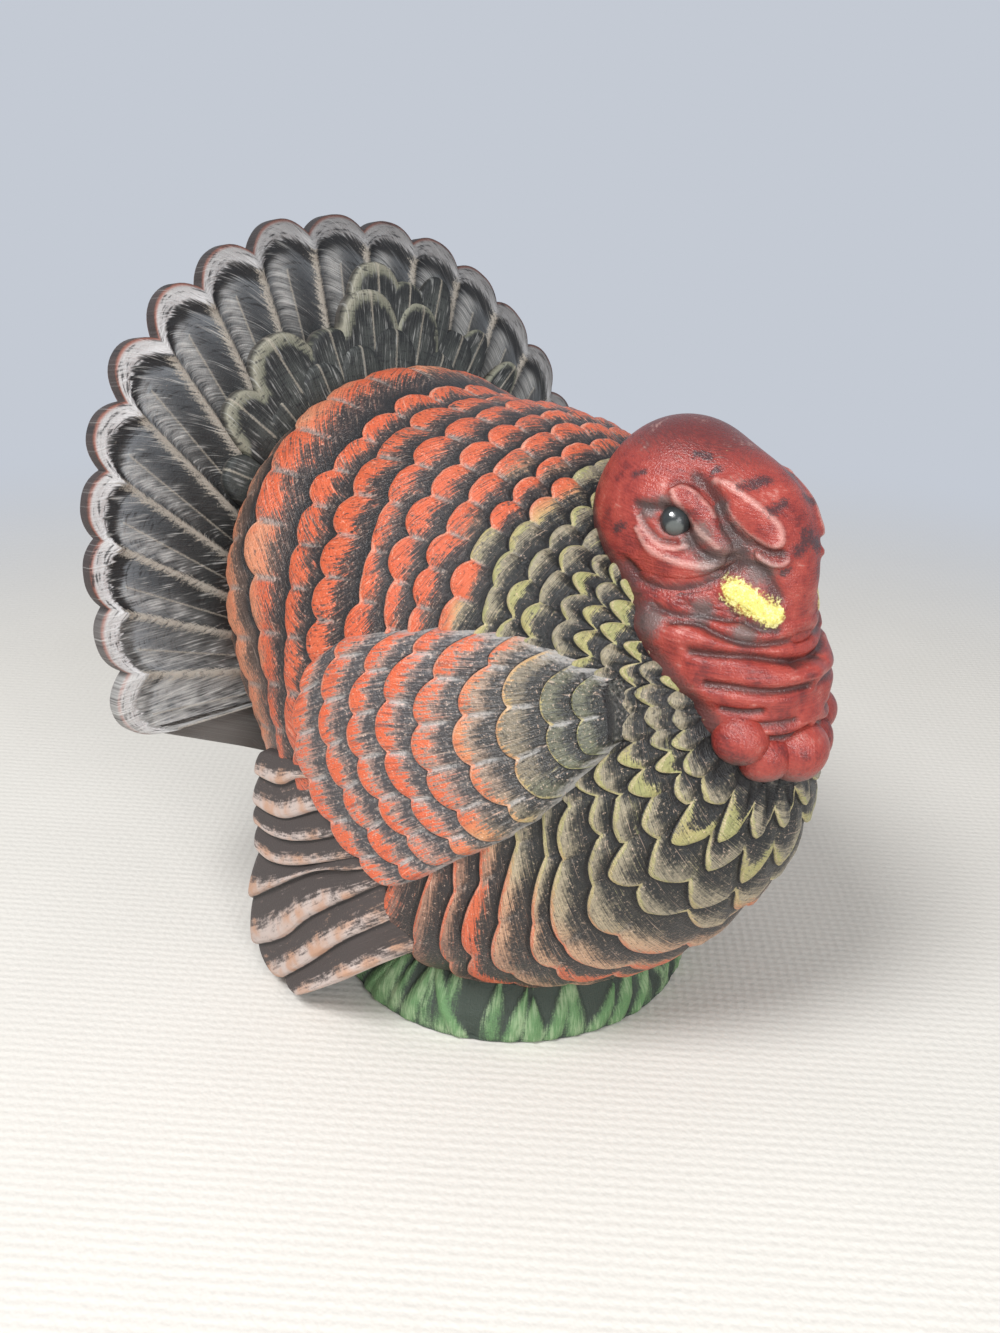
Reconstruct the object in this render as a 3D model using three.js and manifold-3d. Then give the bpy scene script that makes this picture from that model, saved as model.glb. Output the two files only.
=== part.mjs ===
// Thanksgiving turkey figure: a hand painted bisque ceramic tom turkey, tail spread and wings
// drooped, sitting on a low mound of grass.
//
// Millimetres and degrees. +Z is up, +X runs toward the head, +Y toward the bird's own left.
// The origin is the centre of the flat underside of the grass mound.
//
// Every member is grown from smooth masses (ellipsoids that melt into each other) and carries its
// own relief: rows of feathers, quills, skin folds, blades of grass. The body is the main casting.
// Each other member is shaped whole and then carved to sit against its neighbours with JOINT_GAP.

import * as THREE from 'three';
import Module from 'manifold-3d';
import { mergeVertices } from 'three/addons/utils/BufferGeometryUtils.js';

const wasm = await Module();
wasm.setup();

// Driving dimensions of the body casting
const BODY_LENGTH = 168;
const BODY_WIDTH = 154;
const BODY_HEIGHT = 172;
const BODY_SET_BACK = 10;      // centre of the body behind the centre of the mound
const BODY_SINK = 13;          // how deep the belly settles into the mound
const BODY_WALL = 5;           // slip cast wall
const BODY_BLEND = 22;         // width over which the masses melt together
const BODY_ROW_RELIEF = 1.7;   // step from one feather row down to the next
const BODY_SCALLOP = 3.8;      // how far a feather tip laps past the notch beside it
const BODY_LIP = 1;            // width of the rounded lip at the tips

// Grass mound
const MOUND_LENGTH = 114;
const MOUND_WIDTH = 122;
const MOUND_HEIGHT = 24;
const MOUND_BLADE_RELIEF = 2.2;
const VENT_DIAMETER = 12;      // hole through mound and belly that the slip is poured out of
const VENT_SET_BACK = 22;

// Tail fan
const FAN_RADIUS = 111;
const FAN_WIDTH = 216;         // a little narrower than a full circle of that radius
const FAN_RIM_THICKNESS = 6;
const FAN_HUB_THICKNESS = 29;
const FAN_RIB = 1.3;           // rib between two tail feathers
const FAN_QUILL = 0.6;
const FAN_BAND = 0.5;          // raised band along the tips
const FAN_NOTCH = 6.5;         // depth of the notch between two tips
const COVERT_STEP = 2.4;       // lip of one row of coverts
const COVERT_RISE = 9;         // height of the coverts where they meet the body

// Wings
const WING_LENGTH = 97;        // shoulder to the rear scallops
const WING_RISE = 4.2;         // wing surface above the body
const WING_ROW_RELIEF = 1.5;
const WING_SCALLOP = 2.4;
const PRIMARY_LENGTH = 84;     // root to the longest tip
const PRIMARY_SPREAD = 158;    // outside width over both drooped bundles at their roots
const PRIMARY_FLARE = 3;       // how much further out the lowest tips stand
const PRIMARY_THICKNESS = 20;
const PRIMARY_STEP = 2.6;      // ridge along the lower edge of each primary
const PRIMARY_TIP_ROUND = 2;   // how far a rounded tip stands out between two ridges

// Head and neck
const SKULL_LENGTH = 52;
const SKULL_WIDTH = 48;
const SKULL_HEIGHT = 58;
const SNOOD_LENGTH = 40;
const SNOOD_WIDTH = 21;
const NECK_WIDTH = 50;
const NECK_DROP = 66;          // height of the wattled neck
const NECK_FOLD = 1.3;
const EYE_DIAMETER = 9;
const BEAK_LENGTH = 27;
const BEAK_WIDTH = 25;
const LOBE_DIAMETER = 19;      // largest caruncle

const JOINT_GAP = 0.3;         // glue line between members
const FACET_SLACK = 0.5;       // a carving mass is faceted, so it is swollen by this much more

// Counts
const BODY_FEATHERS = 30;
const BODY_CROWDING = 11;      // how far the feathers crowd together toward the back
const FAN_FEATHERS = 19;
const WING_ROWS = 9;
const WING_FEATHERS = 7;
const GRASS_BLADES = 26;
const NECK_FOLDS = 7;

// Angles in degrees
const FAN_LEAN = 9.2;
const FAN_STEP = 12.2;
const BEAK_DROOP = 27;
const ROW_TILT = 14;           // pole of the feather rows, raised toward the throat

const half = 0.5;
const radians = THREE.MathUtils.degToRad;
const vec = (x, y, z) => new THREE.Vector3(x, y, z);

// Smooth masses. A field gives the distance of a point outside the surface, in millimetres.

function ellipsoid(centre, radii) {
  return (p) => {
    const q = p.clone().sub(centre);
    const near = vec(q.x / radii.x, q.y / radii.y, q.z / radii.z).length();
    const slope = vec(q.x / radii.x ** 2, q.y / radii.y ** 2, q.z / radii.z ** 2).length();
    return slope === 0 ? -Math.min(radii.x, radii.y, radii.z) : near * (near - 1) / slope;
  };
}

function melt(width, ...fields) {
  return (p) => fields.map((field) => field(p)).reduce((a, b) => {
    const near = Math.max(width - Math.abs(a - b), 0) / width;
    return Math.min(a, b) - near * near * width / 4;
  });
}

const grow = (field, amount) => (p) => field(p) - amount;

// A point where the ray from the centre leaves the field
function leave(field, centre, direction, reach) {
  let inside = 0;
  let outside = reach;
  for (let step = 0; step < 34; step += 1) {
    const middle = (inside + outside) * half;
    const p = centre.clone().addScaledVector(direction, middle);
    if (field(p) < 0) inside = middle;
    else outside = middle;
  }
  return centre.clone().addScaledVector(direction, outside);
}

// Solids from grids of points

function signedVolume(points, faces) {
  let sum = 0;
  for (let i = 0; i < faces.length; i += 3) {
    const [a, b, c] = [points[faces[i]], points[faces[i + 1]], points[faces[i + 2]]];
    sum += a.dot(b.clone().cross(c));
  }
  return sum;
}

function solidOf(points, faces) {
  const outward = signedVolume(points, faces) > 0;
  const triVerts = new Uint32Array(faces.length);
  for (let i = 0; i < faces.length; i += 3) {
    triVerts[i] = faces[i];
    triVerts[i + 1] = outward ? faces[i + 1] : faces[i + 2];
    triVerts[i + 2] = outward ? faces[i + 2] : faces[i + 1];
  }
  const vertProperties = new Float32Array(points.flatMap((p) => [p.x, p.y, p.z]));
  return new wasm.Manifold(new wasm.Mesh({ numProp: 3, vertProperties, triVerts }));
}

// Rings of points, closed round, capped by a point at each end
function closedRings(firstPole, rings, lastPole) {
  const points = [firstPole, ...rings.flat(), lastPole];
  const round = rings[0].length;
  const faces = [];
  const at = (i, j) => 1 + i * round + (j % round);
  for (let j = 0; j < round; j += 1) {
    faces.push(0, at(0, j + 1), at(0, j));
    faces.push(points.length - 1, at(rings.length - 1, j), at(rings.length - 1, j + 1));
    for (let i = 0; i + 1 < rings.length; i += 1) {
      faces.push(at(i, j), at(i, j + 1), at(i + 1, j + 1));
      faces.push(at(i, j), at(i + 1, j + 1), at(i + 1, j));
    }
  }
  return solidOf(points, faces);
}

// A direction at a polar angle from the axis and a turn round it, turn zero being upward
function aim(axis, polar, turn) {
  const side = vec(0, 1, 0);
  const top = axis.clone().cross(side).negate();
  if (top.z < 0) top.negate();
  return axis.clone().multiplyScalar(Math.cos(polar))
    .addScaledVector(top, Math.sin(polar) * Math.cos(turn))
    .addScaledVector(side, Math.sin(polar) * Math.sin(turn));
}

// A smooth mass as a solid, with relief(polarShare, turn) added along each ray
function massSolid(field, centre, axis, stations, round, relief = () => 0) {
  const reach = BODY_LENGTH + BODY_HEIGHT;
  const ring = (share) => Array.from({ length: round }, (_, j) => {
    const turn = 2 * Math.PI * j / round;
    const direction = aim(axis, Math.PI * share, turn);
    return leave(field, centre, direction, reach).addScaledVector(direction, relief(share, turn));
  });
  const rings = Array.from({ length: stations - 1 }, (_, i) => ring((i + 1) / stations));
  return closedRings(
    leave(field, centre, axis, reach),
    rings,
    leave(field, centre, axis.clone().negate(), reach),
  );
}

function geometrySolid(geometry) {
  const bare = geometry.clone();
  bare.deleteAttribute('normal');
  bare.deleteAttribute('uv');
  const merged = mergeVertices(bare);
  return new wasm.Manifold(new wasm.Mesh({
    numProp: 3,
    vertProperties: new Float32Array(merged.attributes.position.array),
    triVerts: new Uint32Array(merged.index.array),
  }));
}

function largestOf(solid) {
  return solid.decompose().reduce((a, b) => (a.volume() > b.volume() ? a : b));
}

function member(name, solid, look) {
  const whole = largestOf(solid).getMesh();
  const geometry = new THREE.BufferGeometry();
  geometry.setAttribute('position', new THREE.BufferAttribute(whole.vertProperties, 3));
  geometry.setIndex(new THREE.BufferAttribute(whole.triVerts, 1));
  geometry.computeVertexNormals();
  const [color, roughness] = look;
  const mesh = new THREE.Mesh(
    geometry,
    new THREE.MeshStandardMaterial({ color, roughness, metalness: 0, flatShading: true }),
  );
  mesh.name = name;
  return mesh;
}

// Paint: colour and roughness of each member
const looks = {
  body: [0x9a4a30, 0.62],
  grass: [0x3f6b3a, 0.7],
  fan: [0x3c4146, 0.6],
  coverts: [0x59675a, 0.6],
  wing: [0xb04e2c, 0.62],
  primaries: [0x6e5d58, 0.66],
  skin: [0x9c2f2c, 0.5],
  neck: [0xa83a33, 0.55],
  snood: [0x8c2229, 0.5],
  beak: [0xd9c94a, 0.55],
  eye: [0x3a3c3c, 0.3],
};

// Body. Masses as shares of the half lengths: place, then size.
const bodyCentre = vec(-BODY_SET_BACK, 0, MOUND_HEIGHT - BODY_SINK + BODY_HEIGHT * half);
const bodyHalf = vec(BODY_LENGTH, BODY_WIDTH, BODY_HEIGHT).multiplyScalar(half);
const massShares = {
  trunk: [[0, 0, 0], [1, 1, 1]],
  rump: [[-0.6, 0, 0.31], [0.405, 0.86, 0.73]],
  breast: [[0.55, 0, -0.06], [0.76, 0.71, 0.72]],
  belly: [[0.2, 0, -0.49], [0.76, 0.91, 0.53]],
};

function bodyMass([place, size]) {
  const centre = vec(...place).multiply(bodyHalf).add(bodyCentre);
  return ellipsoid(centre, vec(...size).multiply(bodyHalf));
}

const bodyField = melt(BODY_BLEND, ...Object.values(massShares).map(bodyMass));
const heartShare = 0.06;
const bodyHeart = bodyCentre.clone().add(vec(bodyHalf.x * heartShare, 0, 0));
const rowAxis = vec(Math.cos(radians(ROW_TILT)), 0, Math.sin(radians(ROW_TILT)));

// Rows of feather tips from the throat to the rump, in degrees from the pole of the rows: along the
// back and the sides, and under the belly, where they stand further apart
const sideRowDegrees = [
  14, 18, 22, 26, 30, 34, 38, 42.5, 47.5, 53, 59, 65.5, 73, 82, 92, 102, 113, 126, 140, 161,
];
const bellyRowDegrees = [
  14, 20, 27, 34, 41, 48, 55, 62, 69, 76, 83, 90, 98, 107, 116, 125, 134, 143, 152, 166,
];
const bellyTurnDegrees = [108, 150];
const rowReliefShare = 0.24;

function rowPolar(row, turn) {
  const degrees = THREE.MathUtils.radToDeg(turn);
  const belly = THREE.MathUtils.smoothstep(Math.min(degrees, 360 - degrees), ...bellyTurnDegrees);
  const [side, below] = [sideRowDegrees[row], bellyRowDegrees[row]];
  return radians(side + (below - side) * belly);
}

// The turn at which a feather lies, counted in feathers round the body from the top
function featherTurn(place) {
  const tries = 12;
  let turn = 0;
  for (let step = 0; step < tries; step += 1) {
    turn = (2 * Math.PI * place - BODY_CROWDING * Math.sin(turn)) / BODY_FEATHERS;
  }
  return turn;
}

// Each row is two rings, the foot behind its tips and their lip. Even and odd rows are staggered.
function bodyShape() {
  const reach = BODY_LENGTH + BODY_HEIGHT;
  const turns = Array.from({ length: BODY_FEATHERS * 2 }, (_, j) => featherTurn(j * half));
  const spot = (polar, turn, rise) => {
    const direction = aim(rowAxis, polar, turn);
    return leave(bodyField, bodyHeart, direction, reach).addScaledVector(direction, rise);
  };
  const rings = [];
  for (let row = sideRowDegrees.length - 1; row >= 0; row -= 1) {
    const forward = Math.max(row - 1, 0);
    const places = turns.map((turn, j) => {
      const polar = rowPolar(row, turn);
      const round = spot(polar, turn, 0).distanceTo(bodyHeart);
      const width = (polar - rowPolar(forward, turn)) * round;
      const lap = (j + row) % 2 === 0 ? BODY_SCALLOP / round : 0;
      const relief = Math.min(BODY_ROW_RELIEF, width * rowReliefShare);
      return { turn, foot: polar - lap, lip: polar - lap - BODY_LIP / round, relief };
    });
    rings.push(places.map(({ turn, foot }) => spot(foot, turn, 0)));
    if (row > 0) rings.push(places.map(({ turn, lip, relief }) => spot(lip, turn, relief)));
  }
  return closedRings(
    leave(bodyField, bodyHeart, rowAxis.clone().negate(), reach),
    rings,
    leave(bodyField, bodyHeart, rowAxis, reach),
  );
}

// What the other members are carved with: the body, smooth, swollen by its relief and the gap
const carveStations = 24;
const carveRound = 40;
const bodyCarver = massSolid(
  grow(bodyField, BODY_ROW_RELIEF + JOINT_GAP + FACET_SLACK),
  bodyHeart,
  rowAxis,
  carveStations,
  carveRound,
);

const ventAt = vec(-VENT_SET_BACK, 0, 0);

function ventHole() {
  const length = MOUND_HEIGHT + BODY_WALL * 2;
  const hole = new THREE.CylinderGeometry(VENT_DIAMETER * half, VENT_DIAMETER * half, length * 2, 24);
  hole.rotateX(Math.PI * half);
  hole.translate(ventAt.x, ventAt.y, ventAt.z);
  return geometrySolid(hole);
}

// The slip cast hollow follows the smooth body one wall inside
function bodyHollow() {
  const stations = 12;
  const round = 20;
  return massSolid(grow(bodyField, -BODY_WALL), bodyHeart, rowAxis, stations, round);
}

// Grass mound: a flank of blades round a bowl that the belly sits in.
// Each ring up the flank: share of the half width, share of the height, share of the blade relief.
const flankShares = [[0.97, 0, 0], [1, 0.07, 0], [0.99, 0.33, 1], [0.93, 0.66, 1], [0.84, 0.92, 1]];
const bladeShares = [0, 1];

function moundShape(swell) {
  const round = GRASS_BLADES * bladeShares.length;
  const ring = ([wide, up, cut]) => Array.from({ length: round }, (_, j) => {
    const turn = 2 * Math.PI * j / round;
    const out = swell - MOUND_BLADE_RELIEF * cut * bladeShares[j % bladeShares.length];
    return vec(
      (MOUND_LENGTH * half * wide + out) * Math.cos(turn),
      (MOUND_WIDTH * half * wide + out) * Math.sin(turn),
      MOUND_HEIGHT * up,
    );
  });
  return closedRings(vec(0, 0, 0), flankShares.map(ring), vec(0, 0, MOUND_HEIGHT + swell));
}

// Tail fan, in its own frame: x ahead of the front face, z up along it
const fanGroup = new THREE.Group();
const fanPlaceShares = { back: 0.87, up: 0.324 };

fanGroup.position.set(
  bodyCentre.x - bodyHalf.x * fanPlaceShares.back,
  0,
  bodyCentre.z + bodyHalf.z * fanPlaceShares.up,
);
fanGroup.rotation.y = -radians(FAN_LEAN);
fanGroup.updateMatrixWorld();

function carverIn(group, solid) {
  const inverse = group.matrixWorld.clone().invert();
  return solid.transform(inverse.toArray());
}

// The fan's lower edge, closing under the body: sideways and up, as shares of the radius
const fanEdgeShares = [
  [0.89, -0.41], [0.565, -0.55], [0.25, -0.7], [0, -0.74], [-0.25, -0.7], [-0.565, -0.55], [-0.89, -0.41],
];
const acrossShares = [-1 / 2, -1 / 4, 0, 1 / 4];
const notchAt = (across) => FAN_NOTCH * Math.abs(2 * across) ** 2;
const fanSide = FAN_WIDTH * half;

// Samples across a tail feather: place, share of the rib and share of the quill that stand there
const vaneShares = [
  [-0.5, 1, 0], [-0.39, 0, 0], [-0.2, 0, 0], [-0.06, 0, 0], [0, 0, 1], [0.06, 0, 0], [0.2, 0, 0], [0.39, 0, 0],
];

// How far each feather leans from its even place, as a share of the step, from the left to the right
const fanSwayShares = [
  0, 0.05, 0.07, 0.1, 0.08, 0.05, 0.07, 0.08, 0.03, 0.05, 0.11, 0.15, 0.16, 0.18, 0.2, 0.16, 0.1, 0.08, 0.06,
];

function tailAngle(feather, across) {
  const sway = fanSwayShares[feather];
  const beside = fanSwayShares[feather + Math.sign(across)] ?? sway;
  const leaning = sway + (beside - sway) * Math.abs(across);
  return radians((feather - (FAN_FEATHERS - 1) * half + across + leaning) * FAN_STEP);
}

// Each sample of the outline, with the relief that stands there
function fanOutline() {
  const samples = [];
  for (let feather = 0; feather < FAN_FEATHERS; feather += 1) {
    vaneShares.forEach(([across, rib, quill]) => {
      const angle = tailAngle(feather, across);
      const notch = notchAt(across);
      samples.push({
        y: -(fanSide - notch) * Math.sin(angle),
        z: (FAN_RADIUS - notch) * Math.cos(angle),
        relief: FAN_RIB * rib + FAN_QUILL * quill,
        band: FAN_BAND,
      });
    });
  }
  fanEdgeShares.forEach(([y, z]) => {
    samples.push({ y: -y * fanSide, z: z * FAN_RADIUS, relief: 0, band: 0 });
  });
  return samples;
}

// The quills run together at a hub below the middle of the rim. Rows of the front and the back:
// share of the way from the hub to the rim, and shares of the ribs and of the band at the tips.
const fanHubShare = -0.42;
const fanFrontShares = [[0.3, 0.5, 0], [0.93, 1, 0], [0.96, 0.8, 1]];
const fanBackShares = [[0.93, -0.8, 0], [0.4, -0.5, 0]];
const rimRoundShare = 0.25;

function fanShape() {
  const hub = { y: 0, z: fanHubShare * FAN_RADIUS };
  const outline = fanOutline();
  const ring = (share, x, ribbed, banded = 0) => outline.map((s) => vec(
    x + s.relief * ribbed + s.band * banded,
    hub.y + (s.y - hub.y) * share,
    hub.z + (s.z - hub.z) * share,
  ));
  const spread = FAN_HUB_THICKNESS - FAN_RIM_THICKNESS;
  const backAt = (share) => -FAN_RIM_THICKNESS - spread * (1 - share);
  const rimEdge = FAN_RIM_THICKNESS * rimRoundShare;
  return closedRings(
    vec(0, hub.y, hub.z),
    [
      ...fanFrontShares.map(([share, ribbed, banded]) => ring(share, 0, ribbed, banded)),
      ring(1, -rimEdge, 0),
      ring(1, -FAN_RIM_THICKNESS + rimEdge, 0),
      ...fanBackShares.map(([share, ribbed]) => ring(share, backAt(share), ribbed)),
    ],
    vec(-FAN_HUB_THICKNESS, hub.y, hub.z),
  );
}

// Tail coverts: two lapping rows of short feathers in front of the fan, round its centre.
// Tips of the outer row from the left to the right, and the plain edge hidden behind the body.
const covertTipShares = [0.68, 0.74, 0.79, 0.83, 0.86, 0.85, 0.8, 0.74, 0.7, 0.66, 0.62];
const covertLowShares = [0.5, 0.42, 0.38, 0.36, 0.36, 0.38, 0.42, 0.5];
const covertInnerShares = { crest: 0.62, lip: 0.8, foot: 0.82 };

function covertOutline() {
  const samples = [];
  const middle = (covertTipShares.length - 1) * half;
  covertTipShares.forEach((tip, feather) => {
    acrossShares.forEach((across) => {
      const angle = radians((feather - middle + across) * FAN_STEP);
      samples.push({ angle, reach: FAN_RADIUS * tip - notchAt(across) * half });
    });
  });
  const firstLow = radians(covertTipShares.length * half * FAN_STEP);
  covertLowShares.forEach((low, i) => {
    const angle = firstLow + (2 * Math.PI - 2 * firstLow) * (i + half) / covertLowShares.length;
    samples.push({ angle, reach: FAN_RADIUS * low });
  });
  return samples;
}

function covertShape() {
  const samples = covertOutline();
  const ring = (share, x) => samples.map((s) => vec(
    x,
    -s.reach * share * Math.sin(s.angle),
    s.reach * share * Math.cos(s.angle),
  ));
  const behind = -FAN_RIM_THICKNESS * half;
  return closedRings(
    vec(COVERT_RISE, 0, 0),
    [
      ring(covertInnerShares.crest, COVERT_RISE),
      ring(covertInnerShares.lip, COVERT_STEP * 2),
      ring(covertInnerShares.foot, COVERT_STEP),
      ring(1, COVERT_STEP),
      ring(1, behind),
    ],
    vec(behind, 0, 0),
  );
}

// Wings. A chart of the bird's flank, looked at from the side, is laid onto the body.
function flankPoint(x, z, side, rise) {
  const start = vec(x, 0, z);
  return leave(grow(bodyField, rise), start, vec(0, side, 0), BODY_WIDTH);
}

const wingHeartShares = { ahead: 0.81, up: 0.175 };
const wingHeart = {
  x: bodyCentre.x + bodyHalf.x * wingHeartShares.ahead,
  z: bodyCentre.z + bodyHalf.z * wingHeartShares.up,
};

// Outline of the wing round its heart: angle from straight back, downward positive, and reach
const wingOutlineShares = [
  [-98, 0.213], [-56, 0.3], [-33, 0.44], [-15, 0.62], [6, 0.81], [26, 0.87], [40, 0.8],
  [55, 0.68], [63, 0.49], [76, 0.33], [94, 0.25], [149, 0.15], [186, 0.18], [236, 0.185],
  [262, 0.213],
];

function wingReach(angle) {
  const next = Math.max(1, wingOutlineShares.findIndex(([a]) => a >= angle));
  const [a0, r0] = wingOutlineShares[next - 1];
  const [a1, r1] = wingOutlineShares[next];
  return WING_LENGTH * (r0 + (r1 - r0) * (angle - a0) / (a1 - a0));
}

const wingRearAngles = [-98, 94];
const wingFrontAngles = [149, 189, 236];
const wingTaperShare = 0.3;

function wingShape(side, swell) {
  const [firstAngle, rearAngle] = wingRearAngles;
  const rearSteps = WING_FEATHERS * 2;
  const rear = Array.from({ length: rearSteps + 1 }, (_, j) => (
    firstAngle + (rearAngle - firstAngle) * j / rearSteps));
  const angles = [...rear, ...wingFrontAngles];
  const sunk = -WING_ROW_RELIEF;
  const ring = (share, shift, rise, row) => angles.map((angle, j) => {
    const turn = radians(angle);
    const lap = j < rear.length ? ((j + row) % 2) - half : 0;
    const reach = (wingReach(angle) + swell + shift + WING_SCALLOP * lap) * share;
    return flankPoint(
      wingHeart.x - reach * Math.cos(turn),
      wingHeart.z - reach * Math.sin(turn),
      side,
      rise,
    );
  });
  const rings = [];
  for (let row = 1; row <= WING_ROWS; row += 1) {
    const share = row / WING_ROWS;
    const top = BODY_ROW_RELIEF + swell + WING_RISE * (1 - share * wingTaperShare);
    rings.push(ring(share, 0, top, row));
    if (row < WING_ROWS) rings.push(ring(share, WING_SCALLOP * half, top - WING_ROW_RELIEF, row));
  }
  rings.push(ring(1, -WING_SCALLOP * half, sunk, WING_ROWS));
  rings.push(ring(half, 0, sunk, 0));
  return closedRings(
    flankPoint(wingHeart.x, wingHeart.z, side, BODY_ROW_RELIEF + swell + WING_RISE),
    rings,
    flankPoint(wingHeart.x, wingHeart.z, side, sunk),
  );
}

// Drooped primaries: long feathers fanned down and back from the lower edge of the wing. Their
// front edge goes under the breast feathers.
const primaryRootPlaceShares = { ahead: 0.26, up: 0.175 };
const primaryRoot = {
  x: bodyCentre.x + bodyHalf.x * primaryRootPlaceShares.ahead,
  z: MOUND_HEIGHT + BODY_HEIGHT * primaryRootPlaceShares.up,
};

// The ridges between feathers: angle from straight back, downward positive, and reach
const primaryRidgeShares = [
  [-33, 0.62], [-20, 0.74], [-5.4, 0.7], [6.5, 0.69], [23, 0.86], [35.5, 0.9], [48.8, 0.81], [64.7, 0.585],
];

// The covered edge of the bundle, under the wing and toward the breast
const primaryCoveredShares = [
  [78, 0.45], [95, 0.355], [115, 0.29], [137, 0.325], [165, 0.27], [207, 0.25], [262, 0.22], [306, 0.4],
];

const primaryAcrossShares = [0.04, 0.36, 0.68, 0.94];
const primaryTuckShare = 0.24;
const primaryDiveShares = { from: 0.3, over: 0.25, depth: 0.62 };

// Rows from the root to the tips and round to the inner face
const primaryRowShares = { root: 0.45, vane: 0.8, tip: 1, under: 0.97, inner: 0.7 };

function primarySamples() {
  const samples = [];
  primaryRidgeShares.slice(1).forEach(([to, lowerShare], feather) => {
    const [from, upperShare] = primaryRidgeShares[feather];
    primaryAcrossShares.forEach((across) => {
      const bulge = PRIMARY_TIP_ROUND * Math.sin(Math.PI * across);
      samples.push({
        angle: radians(from + (to - from) * across),
        reach: PRIMARY_LENGTH * (upperShare + (lowerShare - upperShare) * across) + bulge,
        ridge: across,
      });
    });
  });
  primaryCoveredShares.forEach(([angle, share]) => {
    samples.push({ angle: radians(angle), reach: PRIMARY_LENGTH * share, ridge: 0 });
  });
  return samples;
}

function primaryShape(side) {
  const outside = PRIMARY_SPREAD * half;
  const flank = (x, z) => {
    const behind = Math.max(0, bodyCentre.x - x) / bodyHalf.x;
    const below = Math.max(0, primaryRoot.z - z) / primaryRoot.z;
    const diveStart = primaryRoot.x * primaryDiveShares.from;
    const ahead = Math.max(0, x - diveStart) / (PRIMARY_LENGTH * primaryDiveShares.over);
    return outside + PRIMARY_FLARE * below - bodyHalf.y * primaryTuckShare * behind ** 2
      - PRIMARY_THICKNESS * primaryDiveShares.depth * Math.min(ahead, 1) ** 2;
  };
  const samples = primarySamples();
  const spot = (s, share, inward) => {
    const x = primaryRoot.x - s.reach * share * Math.cos(s.angle);
    const z = primaryRoot.z - s.reach * share * Math.sin(s.angle);
    return vec(x, side * (flank(x, z) - inward), z);
  };
  const ring = (share, inward, step) => samples.map((s) => (
    spot(s, share, inward + PRIMARY_STEP * step * (1 - s.ridge))));
  const root = { angle: 0, reach: 0 };
  return closedRings(
    spot(root, 0, PRIMARY_STEP),
    [
      ring(primaryRowShares.root, PRIMARY_STEP * half, 1),
      ring(primaryRowShares.vane, 0, 1),
      ring(primaryRowShares.tip, PRIMARY_TIP_ROUND * half, 1),
      ring(primaryRowShares.under, PRIMARY_THICKNESS * half, 0),
      ring(primaryRowShares.inner, PRIMARY_THICKNESS, 0),
    ],
    spot(root, 0, PRIMARY_THICKNESS),
  );
}

// Head, in its own frame at the centre of the skull
const headGroup = new THREE.Group();
const headPlaceShares = { ahead: 0.81, up: 0.773 };

headGroup.position.set(
  bodyCentre.x + bodyHalf.x * headPlaceShares.ahead,
  0,
  bodyCentre.z + bodyHalf.z * headPlaceShares.up,
);
headGroup.updateMatrixWorld();
const skull = vec(SKULL_LENGTH, SKULL_WIDTH, SKULL_HEIGHT).multiplyScalar(half);
const onSkull = (x, y, z) => vec(x, y, z).multiply(skull);

// A spot that stands off the breast, in degrees round from straight ahead and up from level
function offBreast(turn, rise, proud) {
  const direction = vec(Math.cos(radians(turn)), Math.sin(radians(turn)), 0)
    .multiplyScalar(Math.cos(radians(rise)))
    .setZ(Math.sin(radians(rise)));
  return leave(bodyField, bodyHeart, direction, BODY_LENGTH + BODY_HEIGHT)
    .addScaledVector(direction, proud)
    .sub(headGroup.position);
}

// Masses of the head: centre, and size as shares of the lengths named
const wattleSeatShares = { rise: 14.7, proud: -0.078 };
const muzzle = { at: onSkull(0.55, 0, -0.28), sizeShares: [0.9, 0.54, 0.66] };
const browRoot = { at: onSkull(0.7, 0, 0.33), sizeShares: [0.41, 0.54, 0.31] };
const snoodTip = { at: onSkull(1.17, 0, -0.22), sizeShares: [0.28, 0.5, 0.44] };
const throat = { at: onSkull(0.5, 0, -0.9), sizeShares: [0.52, 0.55, 0.34] };
const wattle = {
  at: offBreast(0, wattleSeatShares.rise, NECK_WIDTH * wattleSeatShares.proud),
  sizeShares: [0.36, 0.38, 0.33],
};
const blendShares = { head: 0.3, snood: 0.5, neck: 0.3 };

function skinMass({ at, sizeShares }, length, width, height) {
  return ellipsoid(at, vec(length, width, height).multiply(vec(...sizeShares)));
}

const headField = melt(
  SKULL_WIDTH * blendShares.head,
  ellipsoid(vec(0, 0, 0), skull),
  skinMass(muzzle, skull.x, skull.y, skull.z),
);

const snoodField = melt(
  SNOOD_WIDTH * blendShares.snood,
  skinMass(browRoot, SNOOD_LENGTH, SNOOD_WIDTH, SNOOD_LENGTH),
  skinMass(snoodTip, SNOOD_LENGTH, SNOOD_WIDTH, SNOOD_LENGTH),
);

const neckField = melt(
  NECK_WIDTH * blendShares.neck,
  skinMass(throat, NECK_WIDTH, NECK_WIDTH, NECK_DROP),
  skinMass(wattle, NECK_WIDTH, NECK_WIDTH, NECK_DROP),
);

const skinStations = 13;
const skinRound = 20;
const upward = vec(0, 0, 1);

function skinSolid(field, centre, amount, relief) {
  return massSolid(grow(field, amount), centre, upward, skinStations, skinRound, relief);
}

const headHeart = onSkull(0.3, 0, 0);
const snoodHeart = onSkull(1, 0, 0.1);
const neckHeart = throat.at.clone().lerp(wattle.at, half);

// Slanting folds, fading out toward the top and the bottom of the neck
function foldRelief(share, turn) {
  const phase = 2 * Math.PI * NECK_FOLDS * share + 2 * Math.cos(turn);
  return NECK_FOLD * Math.sin(phase) * Math.sin(Math.PI * share);
}

// The eyes are sunk a little into the skull
const eyeSunkShare = 0.22;
const eyeAim = { ahead: 0.22, up: 0.34 };
const eyeRound = 14;
const ballStations = 8;

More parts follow.
